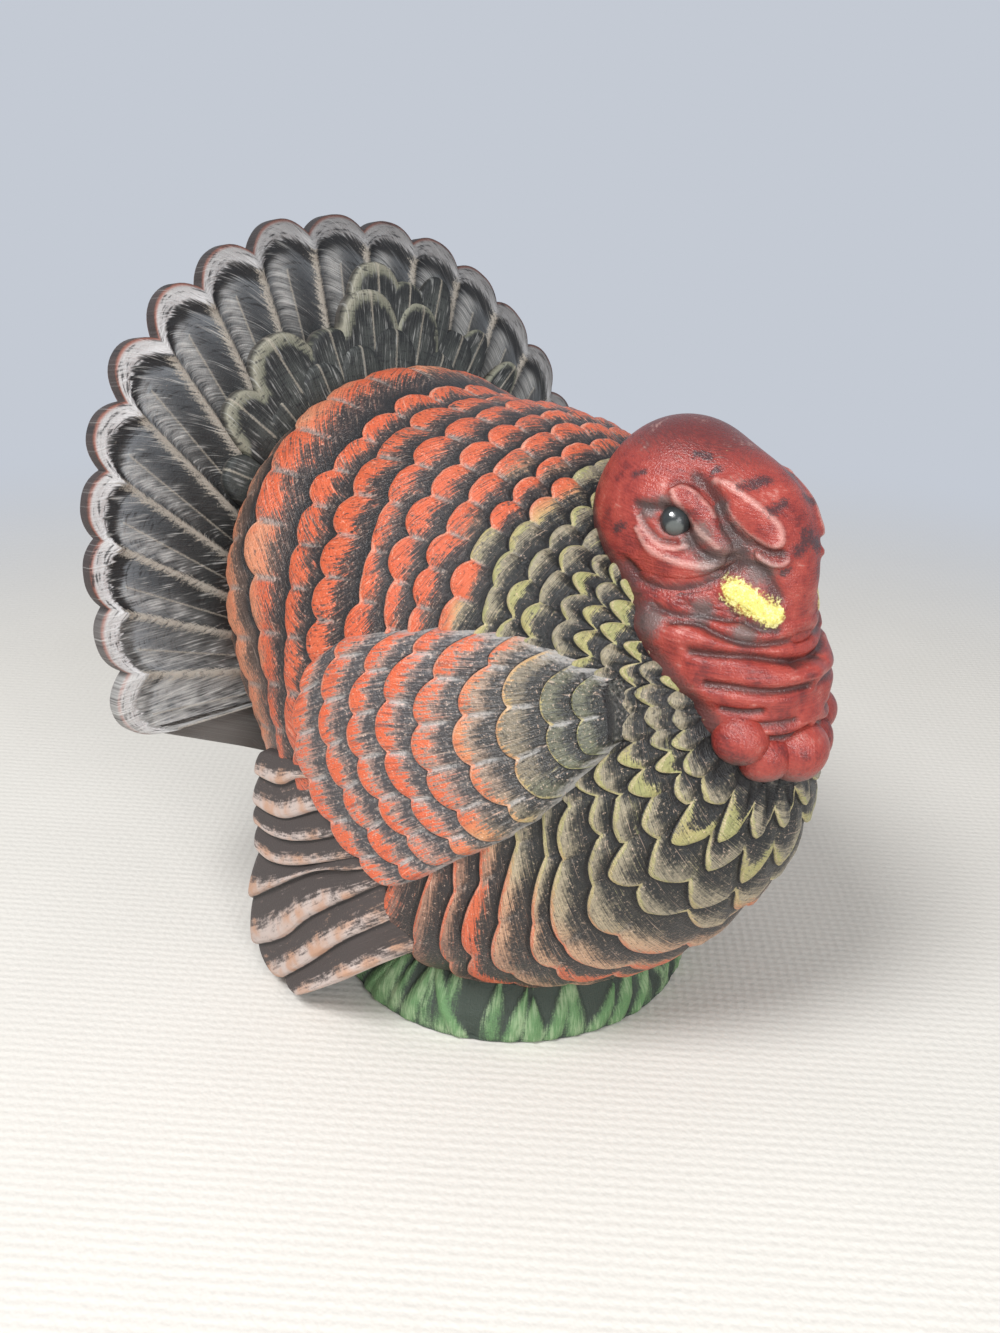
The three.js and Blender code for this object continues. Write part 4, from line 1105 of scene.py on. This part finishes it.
def offBreast(turn, rise, proud):
    turn, rise = math.radians(turn), math.radians(rise)
    direction = np.array([[math.cos(turn) * math.cos(rise), math.sin(turn) * math.cos(rise), math.sin(rise)]])
    return (leave(bodyField, bodyHeart, direction) + direction * proud)[0]


# Soft forms that melt into each other: the width of the blend, then place and radii of each
throat, neckFoot = onSkull(0.5, 0, -0.9), offBreast(0, 14.7, -3.9)
headField = melt(14.4, ellipsoid(headPlace, skull),
                 ellipsoid(onSkull(0.55, 0, -0.28), skull * (0.9, 0.54, 0.66)))
snoodField = melt(10.5, ellipsoid(onSkull(0.7, 0, 0.33), (16.4, 11.34, 12.4)),
                  ellipsoid(onSkull(1.17, 0, -0.22), (11.2, 10.5, 17.6)))
neckField = melt(15, ellipsoid(throat, (26, 27.5, 22.44)), ellipsoid(neckFoot, (18, 19, 21.78)))
skinField = melt(head["blend"] * 1.6, headField, snoodField, neckField)


def nearLine(p, line):
    if len(line) == 1:
        return np.linalg.norm(p - line[0], axis=1)
    best = np.full(len(p), 1e9)
    for a, b in zip(line, line[1:]):
        run = b - a
        t = np.clip(((p - a) @ run) / max(run @ run, 1e-9), 0, 1)
        best = np.minimum(best, np.linalg.norm(p - a - t[:, None] * run, axis=1))
    return best


def bothSides(pixels, smooth=False):
    line = castPixels(pixels, skinField)
    line = curved(line) if smooth else line
    return [line, line * (1, -1, 1)]


def unzoom(points):
    left, top, scale = head["zoom"]
    return [(left + u / scale, top + v / scale) for u, v in points]


skinFolds, skinPads = ([(line, width, height) for points, width, height in head[key]
                        for line in bothSides(unzoom(points), True)] for key in ("folds", "pads"))
skinBlots = [(line, size) for points, size in head["blotches"] for line in bothSides(unzoom(points))]
skinDusks = [(line, size) for point, size in head["dusks"] for line in bothSides([point])]
beakStrokes = bothSides(head["stroke"]["ends"])


def yellowShare(points):
    away = np.minimum(*[nearLine(points, line) for line in beakStrokes])
    return np.exp(-(away / head["stroke"]["width"]) ** 4)


def spotShare(points, spots):
    return np.max([bell(nearLine(points, line) / size) for line, size in spots], axis=0)


def skinPart(own, others, heart, columns, stations, ripple=None):
    def field(p):
        return np.maximum(skinField(p), own(p) - head["blend"])

    direction, polar, turn = around(columns, stations)
    flat = direction.reshape(-1, 3)
    points = leave(field, heart, direction, 90).reshape(-1, 3)
    lift, sink, drybrush_and_highlight = (np.zeros(len(points)) for _ in range(3))
    for line, width, height in skinFolds:
        close = bell(nearLine(points, line) / width)
        lift += close * height
        # Raised folds take the pink dry brush and a painted highlight
        if height > 0:
            drybrush_and_highlight = np.maximum(drybrush_and_highlight, close * min(1, height / 0.6))
        else:
            sink = np.maximum(sink, close * min(1, -height / 1.3))
    # Painted shade where the skin meets the body feathers
    sink = np.maximum(sink, 0.95 * (1 - ease(1.5, 7, bodyField(points))))
    for line, width, height in skinPads:
        lift += bell(nearLine(points, line) / width) * height
    if ripple is not None:
        extra, extraHighlight = ripple(points)
        lift, drybrush_and_highlight = lift + extra, np.maximum(drybrush_and_highlight, extraHighlight)
    other = np.minimum(*[other(points) for other in others])
    yellow = yellowShare(points)
    lift = lift - head["sink"] * ease(0, 2.5, own(points) - other) + head["stroke"]["proud"] * yellow
    masks = {"drybrush_and_highlight": drybrush_and_highlight, "sink": sink, "blot": spotShare(points, skinBlots),
             "dusk": spotShare(points, skinDusks), "yellow": yellow}
    points = points + flat * lift[:, None]
    masks["crest"] = np.clip(1.1 * ease(headPlace[2] + 12, headPlace[2] + 30, points[:, 2]), 0, 1)
    masks["grain"] = np.stack([np.radians(turn).ravel() * head["grainSpan"], polar.ravel() * 0.45,
                               np.zeros(len(points))], -1)
    poles = leave(field, heart, upAndDown, 90)
    return gridPart(points.reshape(direction.shape), masks, *poles)


def skinMaterial(name, s):
    n = newPaint(name, 0.34)
    streak = n.noise(n.place("grain"), *s["streak"])
    cloud, mottle, speck = n.through(s, "cloud", "mottle", "speck")
    tone = n.total((cloud, 0.85), (streak, 0.45), (mottle, 0.3))
    pale = n.mix(n.between(n.sum(speck, mottle), -0.4, 1.4), s["yellow"], s["yellowPale"])
    colour = n.coats(
        s["red"],
        (tone, -0.9, 1, 1, s["bright"]),
        (n.total(n.mask("crest"), (cloud, 0.25), (streak, 0.25)), 0.35, 1.1, 0.8, s["maroon"]),
        # The pale patches here are painted sheen
        (tone, 0.5, 1.8, 0.42, s["drybrush_and_highlight"]),
        (n.times(tone, -1), 0.2, 1.2, 0.6, s["maroon"]),
        (n.total(n.mask("dusk"), (mottle, 0.1), (speck, 0.1)), 0.15, 0.9, 0.85, s["grey"]),
        # Along the raised folds: pink dry brush with a painted highlight
        (n.total(n.mask("drybrush_and_highlight"), (streak, 0.14), (speck, 0.14)), 0.3, 1.15, 0.4, s["drybrush_and_highlight"]),
        # Darker in the sunk folds and at the body: painted shade
        (n.total(n.mask("sink"), (mottle, 0.1), (speck, 0.1)), 0.12, 0.95, 0.8, s["crease"]),
        (n.total(n.mask("blot"), (mottle, 0.22), (speck, 0.22), (streak, 0.22)), 0.25, 1.05, 0.85, s["blot"]),
        (n.total(n.mask("yellow"), (mottle, 0.22), (speck, 0.22)), 0.35, 0.85, 1, pale))
    return n.finish(colour, n.total((streak, 0.5), speck), 0.3, 0.25)


def neckRipple(points):
    wave = np.sin(points[:, 2] * 0.52 + np.abs(points[:, 1]) * 0.09 + 0.7)
    # A painted highlight along the crest of each ripple
    return 0.5 * wave, 0.4 * ease(0.2, 1, wave)


skinPaint = skinMaterial("skin_paint", head)
headPart = skinPart(headField, (snoodField, neckField), onSkull(0.3, 0, 0), 300, 190)
snoodPart = skinPart(snoodField, (headField, neckField), onSkull(1, 0, 0.1), 240, 160)
neckPart = skinPart(neckField, (headField, snoodField), (throat + neckFoot) / 2, 300, 200, neckRipple)
addPiece("head_skin", [headPart], skinPaint, "head")
addPiece("snood_folds", [snoodPart], skinPaint, "snood")
addPiece("neck_folds", [neckPart], skinPaint, "neck_wattle")


# Eyes: a dark bead in a grey almond, with a white glint painted on

eye = {
    "aim": (0.22, 1, 0.34),
    "radius": 4,
    "sunk": 2.9,
    "front": (0.25, 0, 0.05),       # from the aim
    "glint": (-0.16, 0, 0.34),      # from the front
    "low": (0.5, 0, -0.7),
    "pupil": (44, 48, 49),
    "rim": (90, 94, 92),
    "white": (235, 238, 238),
    "speck": (0.5, 2, 3),
}


def eyeMaterial(s):
    n = newPaint("eye_paint", 0.3)
    speck = n.solid(*s["speck"])
    colour = n.coats(s["rim"], (n.total(n.mask("pupil"), (speck, 0.05)), 0.45, 0.7, 1, s["pupil"]),
                     (n.total(n.mask("glint"), (speck, 0.06)), 0.5, 0.75, 1, s["white"]))
    return n.finish(colour, speck, 0.1, 0.1)


def buildEye(side, label, material):
    look = unit(np.array(eye["aim"]) * (1, side, 1))
    centre = leave(headField, onSkull(0.3, 0, 0), look[None], 90)[0] - look * eye["sunk"]
    glint = unit(unit(look + eye["front"]) + eye["glint"])
    low = unit(look + eye["low"])
    direction = around(64, 40)[0]
    masks = {"pupil": 1 - 0.7 * ease(0.6, 1, direction @ low), "glint": ease(0.975, 0.999, direction @ glint)}
    part = gridPart(centre + direction * eye["radius"], masks, *(centre + upAndDown * eye["radius"]))
    addPiece(f"eye_{label}_bead", [part], material, f"eye_{label}")


eyePaint = eyeMaterial(eye)
for side, label in ((-1, "right"), (1, "left")):
    buildEye(side, label, eyePaint)


# Beak: a short stout horn under the snood, yellow only where the brush reached

beak = {
    "seat": (1.1, 0, -0.32),
    "size": (13.5, 12.5, 6.75),
    "droop": 27,
    "yellow": (236, 226, 116),
    "pale": (246, 240, 170),
    "ground": (88, 76, 70),
    "streak": ((3, 0.4, 1), 3, 0),
    "speck": (0.45, 2, 6),
}


def beakMaterial(s):
    n = newPaint("beak_paint", 0.55)
    both = n.sum(n.noise(n.place("grain"), *s["streak"]), n.solid(*s["speck"]))
    colour = n.coats(s["yellow"], (both, -0.3, 1.6, 1, s["pale"]),
                     (n.total(n.mask("bare"), (both, 0.2)), 0.35, 0.75, 1, s["ground"]))
    return n.finish(colour, both, 0.4, 0.3)


def onHorn(d):
    droop = math.radians(beak["droop"])
    local = d * np.array(beak["size"])
    x = local[..., 0] * math.cos(droop) + local[..., 2] * math.sin(droop)
    z = -local[..., 0] * math.sin(droop) + local[..., 2] * math.cos(droop)
    return onSkull(*beak["seat"]) + np.stack([x, local[..., 1], z], -1)


def buildBeak():
    direction = around(90, 60)[0]
    seam = bell((direction[..., 2] + 0.25) / 0.08)
    points = onHorn(direction * (1 - 0.06 * seam)[..., None])
    bare = 1 - yellowShare(points.reshape(-1, 3)).reshape(seam.shape) * (1 - 0.5 * seam)
    grain = np.stack([direction[..., 0] * 13, direction[..., 2] * 8, direction[..., 1]], -1)
    part = gridPart(points, {"bare": bare, "grain": grain}, *onHorn(upAndDown))
    addPiece("beak_horn", [part], beakMaterial(beak), "beak")


buildBeak()


# Caruncles: lumpy lobes strung along the foot of the neck. Each has its turn and rise as seen from
# the heart of the body, how proud it stands and its size as shares of the diameter.

lobes = {
    "diameter": 19,
    "places": [("caruncle_right_upper", -8.5, 11.3, 0.134, 0.82),
               ("caruncle_left_upper", 8.5, 11.3, 0.134, 0.82), ("caruncle_right", -5, 8.1, 0.146, 0.78),
               ("caruncle_left", 5, 8.1, 0.146, 0.78), ("caruncle_front", 0, 8.3, 0.243, 1)],
    "lump": 0.5,
}


def buildLobe(name, turn, rise, proud, size):
    centre = offBreast(turn, rise, lobes["diameter"] * proud)
    direction, radius = around(64, 40)[0], lobes["diameter"] * size / 2
    phase = dice.uniform(0, 6, 3)
    lump = sum(np.sin(direction[..., i] * 4 + phase[i]) for i in range(3)) / 3 * lobes["lump"]
    x, y, z = (direction[..., i] for i in range(3))
    # Lighter on top as a painted highlight; greyer underneath and darker toward the back and bottom as
    # painted shade
    masks = {"drybrush_and_highlight": 0.4 * ease(0.3, 0.9, z * 0.7 + np.abs(y) * 0.5),
             "sink": 1 - ease(-0.75, -0.1, x * 0.8 + z * 0.3), "blot": 0 * x, "yellow": 0 * x,
             "dusk": 0.7 * ease(0.1, -0.9, z), "crest": 0 * x + 0.3, "grain": direction * radius}
    part = gridPart(centre + direction * (radius + lump - 0.3)[..., None], masks,
                    *(centre + upAndDown * (radius - 0.4)))
    addPiece(name + "_lobe", [part], skinPaint, name)


for place in lobes["places"]:
    buildLobe(*place)


# Grass mound: blades that lean and lap, standing out from a dark flank

mound = {
    "half": (57, 61),
    "height": 24,
    # From the floor up: share of the half width, share of the height
    "flank": [(0.93, 0), (0.965, 0.02), (0.985, 0.07), (0.99, 0.2), (0.985, 0.36), (0.96, 0.52), (0.93, 0.68),
              (0.89, 0.82), (0.83, 0.94), (0.7, 1)],
    "relief": 2.4,
    "blades": 50,
    "columns": 900,
    "rows": 46,
    "green": (98, 136, 90),
    "light": (152, 174, 136),
    "ground": (58, 68, 60),
    "streak": ((0.5, 5, 1), 3, 0),
    "cloud": (10, 2, 2),
    "speck": (0.6, 2, 4),
}


def moundMaterial(s):
    n = newPaint("grass_paint", 0.68)
    streak = n.noise(n.place("grain"), *s["streak"])
    cloud, speck = n.through(s, "cloud", "speck")
    green = n.mix(n.between(n.sum(cloud, streak), -0.6, 1.6), s["green"], s["light"])
    level = n.total(n.mask("lit"), (streak, 0.1), (cloud, 0.1), (speck, 0.1))
    return n.finish(n.mix(n.between(level, 0.2, 0.7), s["ground"], green), n.sum(streak, speck), 0.4, 0.3)


def buildMound():
    s = mound
    turn = np.arange(s["columns"]) / s["columns"] * 360
    circle = np.radians(turn)
    flank = np.array(s["flank"], float)
    fine = np.linspace(0, len(flank) - 1, s["rows"])
    wide, up = (np.interp(fine, np.arange(len(flank)), flank[:, i]) for i in (0, 1))
    starts = np.arange(s["blades"]) * 360 / s["blades"] + dice.uniform(-1.6, 1.6, s["blades"])
    leans, widths, tops, order = (dice.uniform(low, high, s["blades"]) for low, high in (
        (-22, 22), (3.4, 6.4), (0.62, 1.25), (0, 0.5)))
    rows = Rows(len(turn), ("lit", "grain"))
    for share, level in zip(wide, up):
        best = np.zeros(len(turn))
        for start, lean, width, top, lift in zip(starts, leans, widths, tops, order):
            narrow = width * np.clip(1 - (level / top) ** 2, 0, 1)
            away = np.abs((turn - start - lean * level + 180) % 360 - 180)
            profile = np.clip(1 - away / max(narrow, 0.05), 0, 1) ** 0.6
            best = np.maximum(best, profile * (0.55 + lift))
        foot = ease(0, 0.06, level)
        out = s["relief"] * (best - 1) * foot
        x, y = ((half * share + out) * way for half, way in zip(s["half"], (np.cos(circle), np.sin(circle))))
        rows.add(np.stack([x, y, np.full(len(turn), s["height"] * level)], -1), best * (0.55 + 0.45 * foot),
                 np.stack([circle * 59, np.full(len(turn), level * s["height"]), best], -1))
    part = gridPart(rows.points, rows.masks, (0, 0, 0), (0, 0, s["height"]))
    addPiece("grass_blades", [part], moundMaterial(s), "grass_mound")


buildMound()


# Floor and light, in metres but for the grain of the cover

stage = {
    "half": 4,
    "table": (226, 223, 217),
    "tableShade": (222, 219, 213),
    "wall": (196, 202, 212),
    "pebble": (2, 1, 1),
    "cloud": (60, 2, 3),
    "dots": 4.6,                    # millimetres
    "fade": (0.3, 0.8),             # from the figure: table, then plain wall
    "world": 0.43,
    "lampAim": (0, 0, 0.1),
    "lamps": {"key": {"spot": (0.15, -0.8, 1.1), "size": 0.5, "power": 14},
              "fill": {"spot": (0.8, -0.35, 0.45), "size": 0.4, "power": 4.2}},
}


# The far floor turns into the plain backdrop for what the camera sees, not for the light
def addFloor():
    n = newPaint("floor_paint", 0.7)
    pebble, cloud = n.solid(*stage["pebble"]), n.solid(*stage["cloud"])
    colour = n.mix(n.between(n.sum(pebble, cloud), -2, 2), stage["tableShade"], stage["table"])
    spot = n.spot()
    across = n.add("ShaderNodeSeparateXYZ", {0: spot}).outputs
    beat = 2 * math.pi / (stage["dots"] * toMetres)
    dots = n.times(*[n.sum(n.times(across[axis], beat), 0, "SINE") for axis in ("X", "Y")])
    material = n.finish(colour, n.total(dots, (pebble, 0.5)), 0.3, 0.3)
    away = n.add("ShaderNodeVectorMath", {0: spot}, operation="LENGTH").outputs["Value"]
    share = n.times(n.between(away, *stage["fade"]), n.seen())
    plain = n.add("ShaderNodeEmission", {"Color": paint(stage["wall"]), "Strength": 1}).outputs[0]
    both = n.add("ShaderNodeMixShader", {0: share, 1: n.shader.outputs[0], 2: plain}).outputs[0]
    n.link(both, n.tree.nodes["Material Output"].inputs["Surface"])
    far = stage["half"]
    mesh = bpy.data.meshes.new("floor")
    mesh.from_pydata([(-far, -far, 0), (far, -far, 0), (far, far, 0), (-far, far, 0)], [], [(0, 1, 2, 3)])
    mesh.materials.append(material)
    addObject("floor", mesh)


def addLamp(name, spot, size, power):
    data = bpy.data.lights.new(name, "AREA")
    data.shape = "DISK"
    data.size = size
    data.energy = power
    back = unit(np.array(spot) - stage["lampAim"])
    side = unit(np.cross((0, 0, 1), back))
    addObject(name, data, (side, np.cross(back, side), back), spot)


def addWorld():
    world = bpy.data.worlds.new("world")
    n = Nodes(world)
    light = n.tree.nodes["Background"]
    light.inputs["Color"].default_value = (1, 1, 1, 1)
    light.inputs["Strength"].default_value = stage["world"]
    plain = n.add("ShaderNodeBackground", {"Color": paint(stage["wall"]), "Strength": 1}).outputs[0]
    both = n.add("ShaderNodeMixShader", {0: n.seen(), 1: light.outputs[0], 2: plain}).outputs[0]
    n.link(both, n.tree.nodes["World Output"].inputs["Surface"])
    bpy.context.scene.world = world


addFloor()
for name, settings in stage["lamps"].items():
    addLamp(name, **settings)
addWorld()
bpy.context.scene.view_settings.view_transform = "Standard"
print("stage set")
